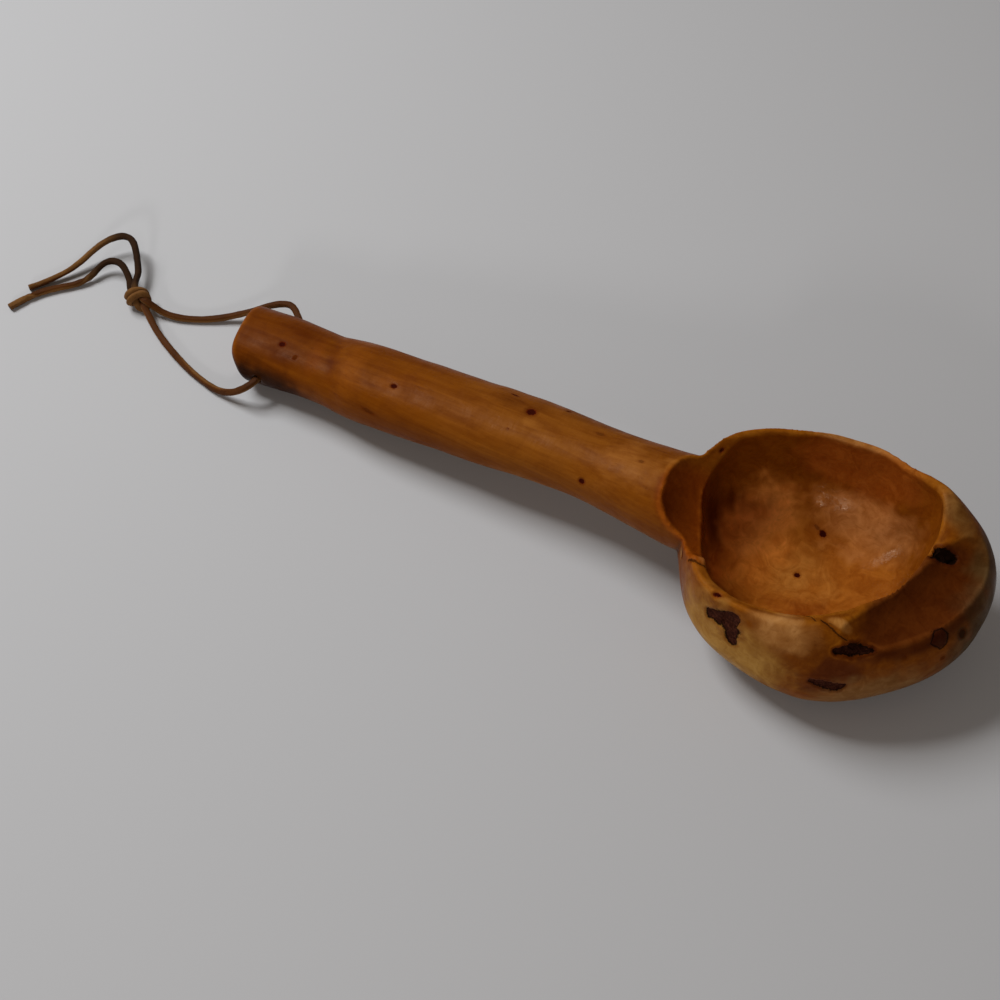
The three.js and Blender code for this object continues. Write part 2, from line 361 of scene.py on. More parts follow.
class MeshPoints:
    """A mesh's points, normals and edges as arrays, in millimetres, and the way back."""

    def __init__(self, mesh: bpy.types.Mesh) -> None:
        """Read the mesh.

        Args:
            mesh: The mesh.
        """
        self.mesh = mesh
        self.count = len(mesh.vertices)
        places = np.empty(self.count * 3, np.float32)
        mesh.vertices.foreach_get("co", places)
        self.places = places.reshape(-1, 3).astype(float) / MM
        edges = np.empty(len(mesh.edges) * 2, np.int32)
        mesh.edges.foreach_get("vertices", edges)
        self.edges = edges.reshape(-1, 2)
        self.degree = np.bincount(self.edges.ravel(), minlength=self.count).clip(1)[:, None]

    def normals(self) -> np.ndarray:
        """Read the normals.

        Returns:
            The normal at each point.
        """
        normals = np.empty(self.count * 3, np.float32)
        self.mesh.vertices.foreach_get("normal", normals)
        return normals.reshape(-1, 3).astype(float)

    def neighbours_middle(self, values: np.ndarray) -> np.ndarray:
        """Average what each point's neighbours have.

        Args:
            values: One row a point.

        Returns:
            The mean of each point's neighbours, one row a point.
        """
        start, end = self.edges.T
        total = np.stack([
            np.bincount(start, column[end], self.count) + np.bincount(end, column[start], self.count)
            for column in values.T
        ], axis=1)
        return total / self.degree

    def bend(self) -> np.ndarray:
        """Measure how sharply the surface bends.

        Returns:
            How far each point stands out from its neighbours, positive on an edge.
        """
        away = self.places - self.neighbours_middle(self.places)
        out = (away * self.normals()).sum(1)[:, None]
        for _ in range(6):
            out = 0.5 * (out + self.neighbours_middle(out))
        return out[:, 0]

    def soften(self, rounds: int) -> None:
        """Smooth the steps of a remesh without shrinking the shape.

        Args:
            rounds: How many times to smooth and swell back.
        """
        for _ in range(rounds):
            for amount in (0.5, -0.52):
                self.places += amount * (self.neighbours_middle(self.places) - self.places)
        self.write()

    def write(self) -> None:
        """Put the points back into the mesh."""
        self.mesh.vertices.foreach_set("co", (self.places * MM).astype(np.float32).ravel())
        self.mesh.update()

    def keep(self, name: str, values: np.ndarray) -> None:
        """Store a value or a colour for each point, for the material.

        Args:
            name: The attribute's name.
            values: One number a point, or one row of four.
        """
        colour = values.ndim == 2
        layer = self.mesh.attributes.new(name, "FLOAT_COLOR" if colour else "FLOAT", "POINT")
        layer.data.foreach_set("color" if colour else "value", values.astype(np.float32).ravel())


# Shader nodes


class NodeSheet:
    """Adds nodes to a tree and links them."""

    def __init__(self, tree: bpy.types.NodeTree) -> None:
        """Start on a tree."""
        self.tree = tree

    def put(
        self, kind: str, inputs: dict[object, object] | None = None, **settings: object
    ) -> bpy.types.Node:
        """Add one node.

        Args:
            kind: The node's type without its ShaderNode start.
            inputs: For each input's name or number, a value or the output that feeds it.
            **settings: The node's own properties.

        Returns:
            The node.
        """
        node = self.tree.nodes.new(f"ShaderNode{kind}")
        for name, value in settings.items():
            setattr(node, name, value)
        for key, value in (inputs or {}).items():
            self.feed(node.inputs[key], value)
        return node

    def feed(self, socket: bpy.types.NodeSocket, value: object) -> None:
        """Link an output to an input, or set its value.

        Args:
            socket: The input.
            value: The output that feeds it, or its value.
        """
        if isinstance(value, bpy.types.NodeSocket):
            self.tree.links.new(value, socket)
        else:
            socket.default_value = value

    def math(
        self, operation: str, first: object, second: object = 0.0, third: object = 0.0
    ) -> bpy.types.NodeSocket:
        """Return the result of a math node."""
        return self.put("Math", {0: first, 1: second, 2: third}, operation=operation).outputs[0]

    def times(self, first: object, second: object) -> bpy.types.NodeSocket:
        """Return one number times another."""
        return self.math("MULTIPLY", first, second)

    def added(self, base: object, value: object, share: object) -> bpy.types.NodeSocket:
        """Return a number with a share of another added."""
        return self.math("MULTIPLY_ADD", value, share, base)

    def centred(self, value: object) -> bpy.types.NodeSocket:
        """Return a number from 0 to 1 as one from -0.5 to 0.5."""
        return self.math("SUBTRACT", value, 0.5)

    def vector(self, operation: str, first: object, second: object) -> bpy.types.NodeSocket:
        """Return the result of a vector math node."""
        return self.put("VectorMath", {0: first, 1: second}, operation=operation).outputs[0]

    def mixed(
        self, share: object, first: object, second: object, blend: str = "MIX"
    ) -> bpy.types.NodeSocket:
        """Return the mix of two colours."""
        node = self.put("Mix", {0: share, 6: first, 7: second}, data_type="RGBA", blend_type=blend)
        return node.outputs[2]

    def tinted(self, share: object, colour: object, by: Point) -> bpy.types.NodeSocket:
        """Return a colour that is multiplied by another, by a share."""
        return self.mixed(share, colour, (*by, 1.0), "MULTIPLY")

    def between(self, share: object, first: object, second: object) -> bpy.types.NodeSocket:
        """Return a number between two, by a share."""
        return self.put("Mix", {0: share, 2: first, 3: second}, data_type="FLOAT").outputs[0]

    def rise(
        self, value: object, low: float, high: float, start: float = 0.0, end: float = 1.0
    ) -> bpy.types.NodeSocket:
        """Return a smooth rise or fall between two values."""
        inputs = {"Value": value, "From Min": low, "From Max": high, "To Min": start, "To Max": end}
        return self.put("MapRange", inputs, interpolation_type="SMOOTHSTEP").outputs[0]

    def noise(
        self, point: object, scale: object, detail: float = 4.0, roughness: float = 0.55,
        distortion: float = 0.0, output: str = "Fac",
    ) -> bpy.types.NodeSocket:
        """Add a noise node.

        Args:
            point: Where to read the noise.
            scale: How many lumps there are in one unit.
            detail: How many finer layers it has.
            roughness: How strong the finer layers are.
            distortion: How much it is drawn about.
            output: Fac for a number from 0 to 1, or Color.

        Returns:
            The noise.
        """
        return self.put("TexNoise", {
            "Vector": point, "Scale": scale, "Detail": detail, "Roughness": roughness,
            "Distortion": distortion,
        }).outputs[output]

    def stored(self, name: str, output: str = "Fac") -> bpy.types.NodeSocket:
        """Return what a mesh keeps under a name."""
        return self.put("Attribute", attribute_name=name).outputs[output]

    def relief(self, layers: tuple[tuple[object, float], ...], strength: float) -> bpy.types.NodeSocket:
        """Add up layers of height.

        Args:
            layers: For each, what shapes it and how high it is in millimetres.
            strength: How much of the relief is felt.

        Returns:
            The normal of the relief.
        """
        (first, high), *others = layers
        height = self.times(first, high)
        for layer, high in others:
            height = self.added(height, layer, high)
        return self.put("Bump", {"Strength": strength, "Distance": MM, "Height": height}).outputs[0]


class SharedEffect:
    """A shader node group that the materials place. It is built once."""

    name: str
    inputs: tuple[tuple[str, str, object], ...]
    outputs: tuple[str, ...]

    @classmethod
    def group(cls) -> bpy.types.NodeTree:
        """Find the group, and build it the first time.

        Returns:
            The group's tree.
        """
        found = bpy.data.node_groups.get(cls.name)
        if found is not None:
            return found
        tree = bpy.data.node_groups.new(cls.name, "ShaderNodeTree")
        for name, kind, value in cls.inputs:
            socket = tree.interface.new_socket(name, in_out="INPUT", socket_type=f"NodeSocket{kind}")
            socket.default_value = value
        for name in cls.outputs:
            tree.interface.new_socket(name, in_out="OUTPUT", socket_type="NodeSocketFloat")
        given = tree.nodes.new("NodeGroupInput").outputs
        target = tree.nodes.new("NodeGroupOutput").inputs
        sheet = NodeSheet(tree)
        for name, value in zip(cls.outputs, cls.wired(sheet, given)):
            sheet.feed(target[name], value)
        return tree

    @classmethod
    def wired(cls, sheet: NodeSheet, given: object) -> tuple[bpy.types.NodeSocket, ...]:
        """Make the effect's nodes.

        Args:
            sheet: The group's nodes.
            given: What the group takes in, by name.

        Returns:
            One value for each of the outputs.
        """
        raise NotImplementedError


class FibreGrain(SharedEffect):
    """Streaks and short pores that run along the first axis of a point, for wood and for leather."""

    name = "fibre_grain"
    inputs = (
        ("Point", "Vector", (0.0, 0.0, 0.0)),
        ("Streak Length", "Float", 30.0),
        ("Streak Width", "Float", 1.2),
    )
    outputs = ("Streaks", "Pores", "Fuzz")

    @classmethod
    def wired(cls, sheet: NodeSheet, given: object) -> tuple[bpy.types.NodeSocket, ...]:
        """Make the effect's nodes.

        Args:
            sheet: The group's nodes.
            given: What the group takes in, by name.

        Returns:
            The streaks, the pores and the fuzz.
        """
        parts = sheet.put("SeparateXYZ", {0: given["Point"]}).outputs
        sizes = (given["Streak Length"], given["Streak Width"], given["Streak Width"])
        shares = {axis: sheet.math("DIVIDE", parts[axis], size) for axis, size in enumerate(sizes)}
        drawn = sheet.put("CombineXYZ", shares).outputs[0]
        streaks = sheet.noise(drawn, 0.5, 7.0, 0.66, 0.35)
        short = sheet.vector("MULTIPLY", drawn, (6.0, 1.7, 1.7))
        pores = sheet.rise(sheet.noise(short, 1.0, 2.0, 0.5), 0.6, 0.72)
        return streaks, pores, sheet.noise(given["Point"], 1.9, 5.0, 0.7)


class BurlFigure(SharedEffect):
    """The eddies and contour lines of burl wood, and its fine curl."""

    name = "burl_figure"
    inputs = (("Point", "Vector", (0.0, 0.0, 0.0)), ("Swirl", "Float", 9.0), ("Lump", "Float", 26.0))
    outputs = ("Figure", "Curl")

    @classmethod
    def wired(cls, sheet: NodeSheet, given: object) -> tuple[bpy.types.NodeSocket, ...]:
        """Make the effect's nodes.

        Args:
            sheet: The group's nodes.
            given: What the group takes in, by name.

        Returns:
            The figure and its curl.
        """
        point = given["Point"]
        pushed = sheet.vector("SUBTRACT", sheet.noise(point, 0.045, 3.0, output="Color"), (0.5, 0.5, 0.5))
        push = sheet.put("VectorMath", {0: pushed, "Scale": given["Swirl"]}, operation="SCALE").outputs[0]
        bent = sheet.vector("ADD", point, push)
        lumps = sheet.noise(bent, sheet.math("DIVIDE", 1.0, given["Lump"]), 2.5, 0.5, 0.7)
        lines = sheet.added(0.5, sheet.math("SINE", sheet.times(lumps, 96.0)), 0.5)
        eddies = sheet.noise(bent, 0.11, 8.0, 0.6, 1.0)
        curl = sheet.noise(sheet.vector("MULTIPLY", bent, (1.0, 0.35, 1.0)), 0.55, 3.0, 0.55, 0.8)
        mottle = sheet.added(sheet.times(eddies, 0.82), curl, 0.18)
        return sheet.added(sheet.times(mottle, 0.95), lines, 0.05), curl


class BrokenEdge(SharedEffect):
    """Cuts a stored form into a mask with a ragged edge, and gives the ring just outside it."""

    name = "broken_edge"
    inputs = (
        ("Form", "Float", 0.0),
        ("Point", "Vector", (0.0, 0.0, 0.0)),
        ("Grit", "Float", 0.5),
        ("Ragged", "Float", 0.5),
    )
    outputs = ("Inside", "Ring", "Deep")

    @classmethod
    def wired(cls, sheet: NodeSheet, given: object) -> tuple[bpy.types.NodeSocket, ...]:
        """Make the effect's nodes.

        Args:
            sheet: The group's nodes.
            given: What the group takes in, by name.

        Returns:
            What is inside, the ring outside it, and what is well inside.
        """
        uneven = sheet.centred(sheet.noise(given["Point"], given["Grit"], 4.0, 0.6))
        form = sheet.added(given["Form"], uneven, given["Ragged"])
        ring = sheet.times(sheet.rise(form, -0.75, -0.1), sheet.rise(form, 0.0, 0.12, 1.0, 0.0))
        return sheet.rise(form, -0.05, 0.12), ring, sheet.rise(form, 0.1, 0.3)


def placed_group(sheet: NodeSheet, tree: bpy.types.NodeTree, inputs: dict[str, object]) -> bpy.types.Node:
    """Put a shared group into a material with its own values.

    Args:
        sheet: The material's nodes.
        tree: The group.
        inputs: For each input's name, a value or the output that feeds it.

    Returns:
        The group's node.
    """
    node = sheet.put("Group", node_tree=tree)
    for name, value in inputs.items():
        sheet.feed(node.inputs[name], value)
    return node


def started_material(name: str) -> tuple[bpy.types.Material, NodeSheet, bpy.types.Node]:
    """Start a material with one Principled shader.

    Args:
        name: The material's name.

    Returns:
        The material, its nodes, and the shader.
    """
    material = bpy.data.materials.new(name)
    material.use_nodes = True
    material.node_tree.nodes.clear()
    sheet = NodeSheet(material.node_tree)
    shader = sheet.put("BsdfPrincipled")
    output = sheet.put("OutputMaterial")
    material.node_tree.links.new(shader.outputs[0], output.inputs[0])
    return material, sheet, shader


@dataclass(frozen=True)
class WoodMarks:
    """The masks of the wood's knots, bark and cracks, while its material is made."""

    knot: bpy.types.Node
    knot_depth: bpy.types.NodeSocket
    bark: bpy.types.Node
    crumbs: bpy.types.NodeSocket
    crack: bpy.types.NodeSocket


@dataclass(frozen=True)
class OiledBurl:
    """The ladle's old oiled wood: its colours, painted light and shade among them, come with the mesh, and
    its figure from here.

    A colour whose name ends in by multiplies the wood's own, and heights are in millimetres.
    """

    name: str = "oiled_burl"
    bark: Rgb = (48, 19, 12)
    bark_light: Rgb = (88, 46, 32)
    knot: Rgb = (98, 32, 4)
    knot_core: Rgb = (56, 10, 3)
    crack: Rgb = (20, 8, 3)
    dark_figure_by: Point = (0.78, 0.68, 0.52)
    pale_figure_by: Point = (1.14, 1.20, 1.30)
    dark_cloud_by: Point = (0.70, 0.58, 0.42)
    pale_cloud_by: Point = (1.18, 1.26, 1.4)
    pore_by: Point = (0.5, 0.38, 0.28)
    knot_ring_by: Point = (0.62, 0.48, 0.36)
    bark_ring_by: Point = (0.55, 0.36, 0.24)
    cloud_share: float = 0.4
    pore_share: float = 0.22
    knot_ring_share: float = 0.7
    bark_ring_share: float = 0.6
    crack_share: float = 0.75
    roughness: float = 0.5
    worn_roughness: float = 0.17
    marks_roughness: float = 0.85
    curl_roughness: float = 0.22
    cloud_roughness: float = 0.6
    specular: float = 0.055
    specular_tint: Point = (1.0, 0.78, 0.55)
    ripple_height: float = 0.4
    streak_height: float = 0.09
    pore_height: float = -0.05
    crack_height: float = -0.5
    bark_height: float = 1.1
    knot_height: float = -0.2
    bump: float = 0.55

    def build(self) -> bpy.types.Material:
        """Make the material.

        Returns:
            The material, for a mesh that keeps the wood's tone with its painted light and shade, marks,
            polish and long grain.
        """
        material, sheet, shader = started_material(self.name)
        point = sheet.vector("MULTIPLY", sheet.put("TexCoord").outputs["Object"], (1 / MM,) * 3)
        grain = placed_group(sheet, FibreGrain.group(), {
            "Point": point, "Streak Length": 34.0, "Streak Width": 1.7,
        })
        burl = placed_group(sheet, BurlFigure.group(), {"Point": point, "Swirl": 16.0, "Lump": 34.0})
        cloud = sheet.noise(point, 0.06, 5.0, 0.62, 0.8)
        marks = self.marks(sheet, point)
        colour = self.figured(sheet, grain, burl, cloud)
        sheet.feed(shader.inputs["Base Color"], self.marked(sheet, colour, marks))

        gloss = sheet.between(sheet.stored("polish"), self.roughness, self.worn_roughness)
        gloss = sheet.added(gloss, sheet.centred(burl.outputs["Curl"]), self.curl_roughness)
        gloss = sheet.added(gloss, sheet.centred(cloud), self.cloud_roughness)
        dull = sheet.math("MAXIMUM", marks.bark.outputs["Inside"], marks.knot.outputs["Inside"])
        dull = sheet.math("MAXIMUM", dull, marks.crack)
        sheet.feed(shader.inputs["Roughness"], sheet.between(dull, gloss, self.marks_roughness))
        shader.inputs["Specular IOR Level"].default_value = self.specular
        shader.inputs["Specular Tint"].default_value = (*self.specular_tint, 1.0)

        ripples = sheet.noise(sheet.vector("MULTIPLY", point, (1.0, 0.4, 1.0)), 0.33, 2.0)
        sheet.feed(shader.inputs["Normal"], sheet.relief((
            (ripples, self.ripple_height),
            (grain.outputs["Streaks"], self.streak_height),
            (grain.outputs["Pores"], self.pore_height),
            (marks.crack, self.crack_height),
            (sheet.times(marks.bark.outputs["Inside"], marks.crumbs), self.bark_height),
            (sheet.times(marks.knot.outputs["Inside"], marks.knot_depth), self.knot_height),
        ), self.bump))
        return material

    def marks(self, sheet: NodeSheet, point: bpy.types.NodeSocket) -> WoodMarks:
        """Cut the stored forms into masks.

        Args:
            sheet: The material's nodes.
            point: The place in millimetres.

        Returns:
            The masks.
        """
        knot, bark = (
            placed_group(sheet, BrokenEdge.group(), {
                "Form": sheet.stored(form), "Point": point, "Grit": 1.1, "Ragged": ragged,
            })
            for form, ragged in (("knot", 0.7), ("bark", 0.4))
        )
        side = sheet.added(sheet.stored("seam_side"), sheet.centred(sheet.noise(point, 0.8, 3.0)), 2.2)
        thin = sheet.rise(sheet.math("ABSOLUTE", side), 0.3, 1.0, 1.0, 0.0)
        crack = sheet.times(thin, sheet.rise(sheet.stored("seam_near"), 0.15, 0.45))
        return WoodMarks(knot, sheet.stored("knot_depth"), bark, sheet.noise(point, 0.9, 6.0, 0.75), crack)

    def figured(
        self, sheet: NodeSheet, grain: bpy.types.Node, burl: bpy.types.Node, cloud: bpy.types.NodeSocket
    ) -> bpy.types.NodeSocket:
        """Draw the wood's figure on its stored tone.

        Args:
            sheet: The material's nodes.
            grain: The straight grain of the handle.
            burl: The figure of the bowl.
            cloud: Broad lighter and darker places.

        Returns:
            The wood's colour without its marks.
        """
        tone = sheet.stored("tone", "Color")
        calm = sheet.added(0.14, grain.outputs["Streaks"], 0.72)
        figure = sheet.between(sheet.stored("long_grain"), burl.outputs["Figure"], calm)
        colour = sheet.mixed(
            sheet.rise(figure, 0.32, 0.68),
            sheet.tinted(1.0, tone, self.dark_figure_by),
            sheet.tinted(1.0, tone, self.pale_figure_by),
        )
        for end, by in ((0.7, self.dark_cloud_by), (0.28, self.pale_cloud_by)):
            colour = sheet.tinted(sheet.rise(cloud, 0.48, end, 0.0, self.cloud_share), colour, by)
        return sheet.tinted(sheet.times(grain.outputs["Pores"], self.pore_share), colour, self.pore_by)

    def marked(
        self, sheet: NodeSheet, colour: bpy.types.NodeSocket, marks: WoodMarks
    ) -> bpy.types.NodeSocket:
        """Lay knots, bark and cracks over the wood's colour.

        Args:
            sheet: The material's nodes.
            colour: The wood's colour.
            marks: The masks.

        Returns:
            The finished colour.
        """
        knot, bark = marks.knot.outputs, marks.bark.outputs
        halo = sheet.times(knot["Ring"], sheet.times(marks.knot_depth, self.knot_ring_share))
        ring = sheet.tinted(1.0, sheet.stored("tone", "Color"), self.knot_ring_by)
        colour = sheet.mixed(halo, colour, ring)
        heart = sheet.mixed(knot["Deep"], linear(self.knot), linear(self.knot_core))
        colour = sheet.mixed(sheet.times(knot["Inside"], marks.knot_depth), colour, heart)

        rot = sheet.mixed(sheet.rise(marks.crumbs, 0.4, 0.7), linear(self.bark), linear(self.bark_light))
        rot = sheet.mixed(bark["Deep"], linear(self.crack), rot)
        rot = sheet.mixed(sheet.stored("bark_black"), rot, linear(self.crack))
        colour = sheet.tinted(sheet.times(bark["Ring"], self.bark_ring_share), colour, self.bark_ring_by)
        colour = sheet.mixed(bark["Inside"], colour, rot)
        return sheet.mixed(sheet.times(marks.crack, self.crack_share), colour, linear(self.crack))


@dataclass(frozen=True)
class LeatherLace:
    """Smoked hide cut into a lace: a smooth dark grain side, and fuzzy lighter cut and flesh sides.

    A colour whose name ends in by multiplies the leather's own, and heights are in millimetres.
    """

    name: str = "leather_lace"
    grain_side: Rgb = (84, 45, 8)
    cut_side: Rgb = (96, 52, 10)
    flesh_side: Rgb = (126, 86, 44)
    # How much darker the lace's darker stretch is.
    darkened_by: Point = (0.17, 0.15, 0.15)
    handled_by: Point = (0.5, 0.42, 0.36)
    fuzz_by: Point = (0.6, 0.52, 0.42)
    pore_by: Point = (0.4, 0.33, 0.28)
    most_share: float = 0.5
    roughness: float = 0.74
    grain_smoother: float = -0.2
    fuzz_roughness: float = 0.12
    sheen: float = 0.03
    sheen_roughness: float = 0.45
    specular: float = 0.1
    fuzz_height: float = 0.2
    wrinkle_height: float = 0.22
    streak_height: float = 0.16
    bump: float = 0.6

    def build(self) -> bpy.types.Material:
        """Make the material.

        Returns:
            The material, for a mesh that keeps run, across, rise, grain_side and the darker stretch.
        """
        material, sheet, shader = started_material(self.name)
        axes = {axis: sheet.stored(name) for axis, name in enumerate(("run", "across", "rise"))}
        point = sheet.put("CombineXYZ", axes).outputs[0]
        fibres = placed_group(sheet, FibreGrain.group(), {
            "Point": point, "Streak Length": 7.0, "Streak Width": 0.5,
        }).outputs
        worn = sheet.added(sheet.stored("grain_side"), sheet.centred(fibres["Streaks"]), 0.9)
        sheet.feed(shader.inputs["Base Color"], self.coloured(sheet, point, fibres, worn))
        rough = sheet.added(self.roughness, sheet.rise(worn, 0.1, 0.6), self.grain_smoother)
        sheet.feed(shader.inputs["Roughness"], sheet.added(rough, fibres["Fuzz"], self.fuzz_roughness))
        shader.inputs["Sheen Weight"].default_value = self.sheen
        shader.inputs["Sheen Roughness"].default_value = self.sheen_roughness
        shader.inputs["Specular IOR Level"].default_value = self.specular
        wrinkles = sheet.noise(sheet.vector("MULTIPLY", point, (1.0, 0.35, 0.35)), 0.85, 3.0, 0.6)
        sheet.feed(shader.inputs["Normal"], sheet.relief((
            (fibres["Fuzz"], self.fuzz_height),
            (wrinkles, self.wrinkle_height),
            (fibres["Streaks"], self.streak_height),
        ), self.bump))
        return material

    def coloured(
        self, sheet: NodeSheet, point: bpy.types.NodeSocket, fibres: object, worn: bpy.types.NodeSocket
    ) -> bpy.types.NodeSocket:
        """Colour the lace's sides, its darker stretch and its wear.

        Args:
            sheet: The material's nodes.
            point: The place along, across and up the lace.
            fibres: The outputs of its grain.
            worn: From the flesh side to the grain side, with its streaks.

        Returns:
            The leather's colour.
        """
        colour = sheet.mixed(sheet.rise(worn, -0.5, 0.05), linear(self.flesh_side), linear(self.cut_side))
        colour = sheet.mixed(sheet.rise(worn, 0.1, 0.55), colour, linear(self.grain_side))
        handled = sheet.rise(sheet.noise(point, 0.075, 3.0, 0.6), 0.4, 0.66, 0.0, self.most_share)
        fuzzy = sheet.rise(fibres["Fuzz"], 0.4, 0.7, 0.0, self.most_share)
        for share, by in (
            # The stored stretch of the lace is made darker.
            (sheet.stored("darkened"), self.darkened_by),
            (handled, self.handled_by),
            (fuzzy, self.fuzz_by),
            (sheet.times(fibres["Pores"], self.most_share), self.pore_by),
        ):
            colour = sheet.tinted(share, colour, by)
        return colour


# Camera and studio


def turned_towards(place: Point, target: Point) -> Euler:
    """Return the rotation that turns a camera or a lamp at a place towards a target."""
    return (Vector(target) - Vector(place)).to_track_quat("-Z", "Y").to_euler()


@dataclass
class PhotoCamera:
    """The camera at the photograph's place, looking down past the thong to the bowl."""

    place: Point = (127.0, -483.0, 676.9)
    target: Point = (-154.0, -12.4, 0.0)
    lens: float = 68.4
    sensor: float = 36.0
    clip: tuple[float, float] = (0.01, 20.0)

    def build(self) -> bpy.types.Object:
        """Make the camera and set it as the scene's.

        Returns:
            The camera.
        """
        data = bpy.data.cameras.new("photo_camera")
        data.lens, data.sensor_width = self.lens, self.sensor
        data.clip_start, data.clip_end = self.clip
        camera = linked("photo_camera", data)
        camera.location = Vector(self.place) * MM
        camera.rotation_euler = turned_towards(self.place, self.target)
        bpy.context.scene.camera = camera
        return camera


@dataclass(frozen=True)
class Lamp:
    """One soft lamp of the studio, in metres and watts."""

    name: str
    place: Point
    size: float
    power: float
    colour: Point = (1.0, 1.0, 1.0)


@dataclass
class Studio:
    """A plain pale floor under soft light from high on the left, the butt's side, and from overhead."""

    floor_colour: Rgb = (202, 202, 204)
    floor_drop: float = 0.3
    floor_half: float = 3000.0
    floor_roughness: float = 0.9
    floor_specular: float = 0.1
    fade: tuple[float, float] = (0.75, 1.4)
    ambient: float = 0.13
    ambient_colour: Point = (1.0, 0.85, 0.72)
    shown: Rgb = (208, 209, 211)
    target: Point = (-0.12, 0.0, 0.02)
    lamps: tuple[Lamp, ...] = (
        Lamp("key_lamp", (-1.07, 0.04, 1.18), 0.75, 12.4, (0.975, 1.0, 1.015)),
        Lamp("gloss_lamp", (-1.02, -0.24, 1.26), 0.24, 3.0, (1.0, 0.99, 0.97)),
        Lamp("front_lamp", (0.2, -1.4, 0.56), 0.2, 3.9, (1.0, 0.995, 0.985)),
    )

    def floor(self) -> None:
        """Lay the floor."""
        half, low = self.floor_half, -self.floor_drop
        corners = np.array([(-half, -half, low), (half, -half, low), (half, half, low), (-half, half, low)])
        floor = made_object("studio_floor", corners, [(0, 1, 2, 3)])
        floor.data.materials.append(self.paper())

    def paper(self) -> bpy.types.Material:
        """Make the floor's material, which fades into the pale wall far away.

        Returns:
            The material.
        """
        material, sheet, shader = started_material("studio_paper")
        shader.inputs["Base Color"].default_value = linear(self.floor_colour)
        shader.inputs["Roughness"].default_value = self.floor_roughness
        shader.inputs["Specular IOR Level"].default_value = self.floor_specular
        place = sheet.put("TexCoord").outputs["Object"]
        reach = sheet.put("VectorMath", {0: place}, operation="LENGTH").outputs["Value"]
        far = sheet.times(sheet.rise(reach, *self.fade), sheet.put("LightPath").outputs["Is Camera Ray"])
        wall = sheet.put("Emission", {"Color": linear(self.shown), "Strength": 1.0})
        blend = sheet.put("MixShader", {0: far, 1: shader.outputs[0], 2: wall.outputs[0]})
        output = next(node for node in material.node_tree.nodes if node.type == "OUTPUT_MATERIAL")
        sheet.feed(output.inputs[0], blend.outputs[0])
        return material

    def light(self) -> None:
        """Hang the lamps."""
        for lamp in self.lamps:
            data = bpy.data.lights.new(lamp.name, "AREA")
            data.shape, data.size, data.energy, data.color = "DISK", lamp.size, lamp.power, lamp.colour
            made = linked(lamp.name, data)
            made.location = lamp.place
            made.rotation_euler = turned_towards(lamp.place, self.target)

    def surroundings(self) -> None:
        """Fill the room with even light, and show the camera a pale wall."""
        world = bpy.data.worlds.new("studio_room")
        world.use_nodes = True
        world.node_tree.nodes.clear()
        sheet = NodeSheet(world.node_tree)
        even = sheet.put("Background", {"Color": (*self.ambient_colour, 1.0), "Strength": self.ambient})
        wall = sheet.put("Background", {"Color": linear(self.shown), "Strength": 1.0})
        seen = sheet.put("LightPath").outputs["Is Camera Ray"]
        mixed = sheet.put("MixShader", {0: seen, 1: even.outputs[0], 2: wall.outputs[0]})
        output = sheet.put("OutputWorld")
        world.node_tree.links.new(mixed.outputs[0], output.inputs[0])
        bpy.context.scene.world = world

    def build(self) -> None:
        """Make the floor, the lamps and the room."""
        bpy.context.scene.view_settings.view_transform = "Standard"
        self.floor()
        self.light()
        self.surroundings()


# The leather lace


class Side(Enum):
    """Which way a strand leaves the hole."""

    FRONT = -1
    BACK = 1


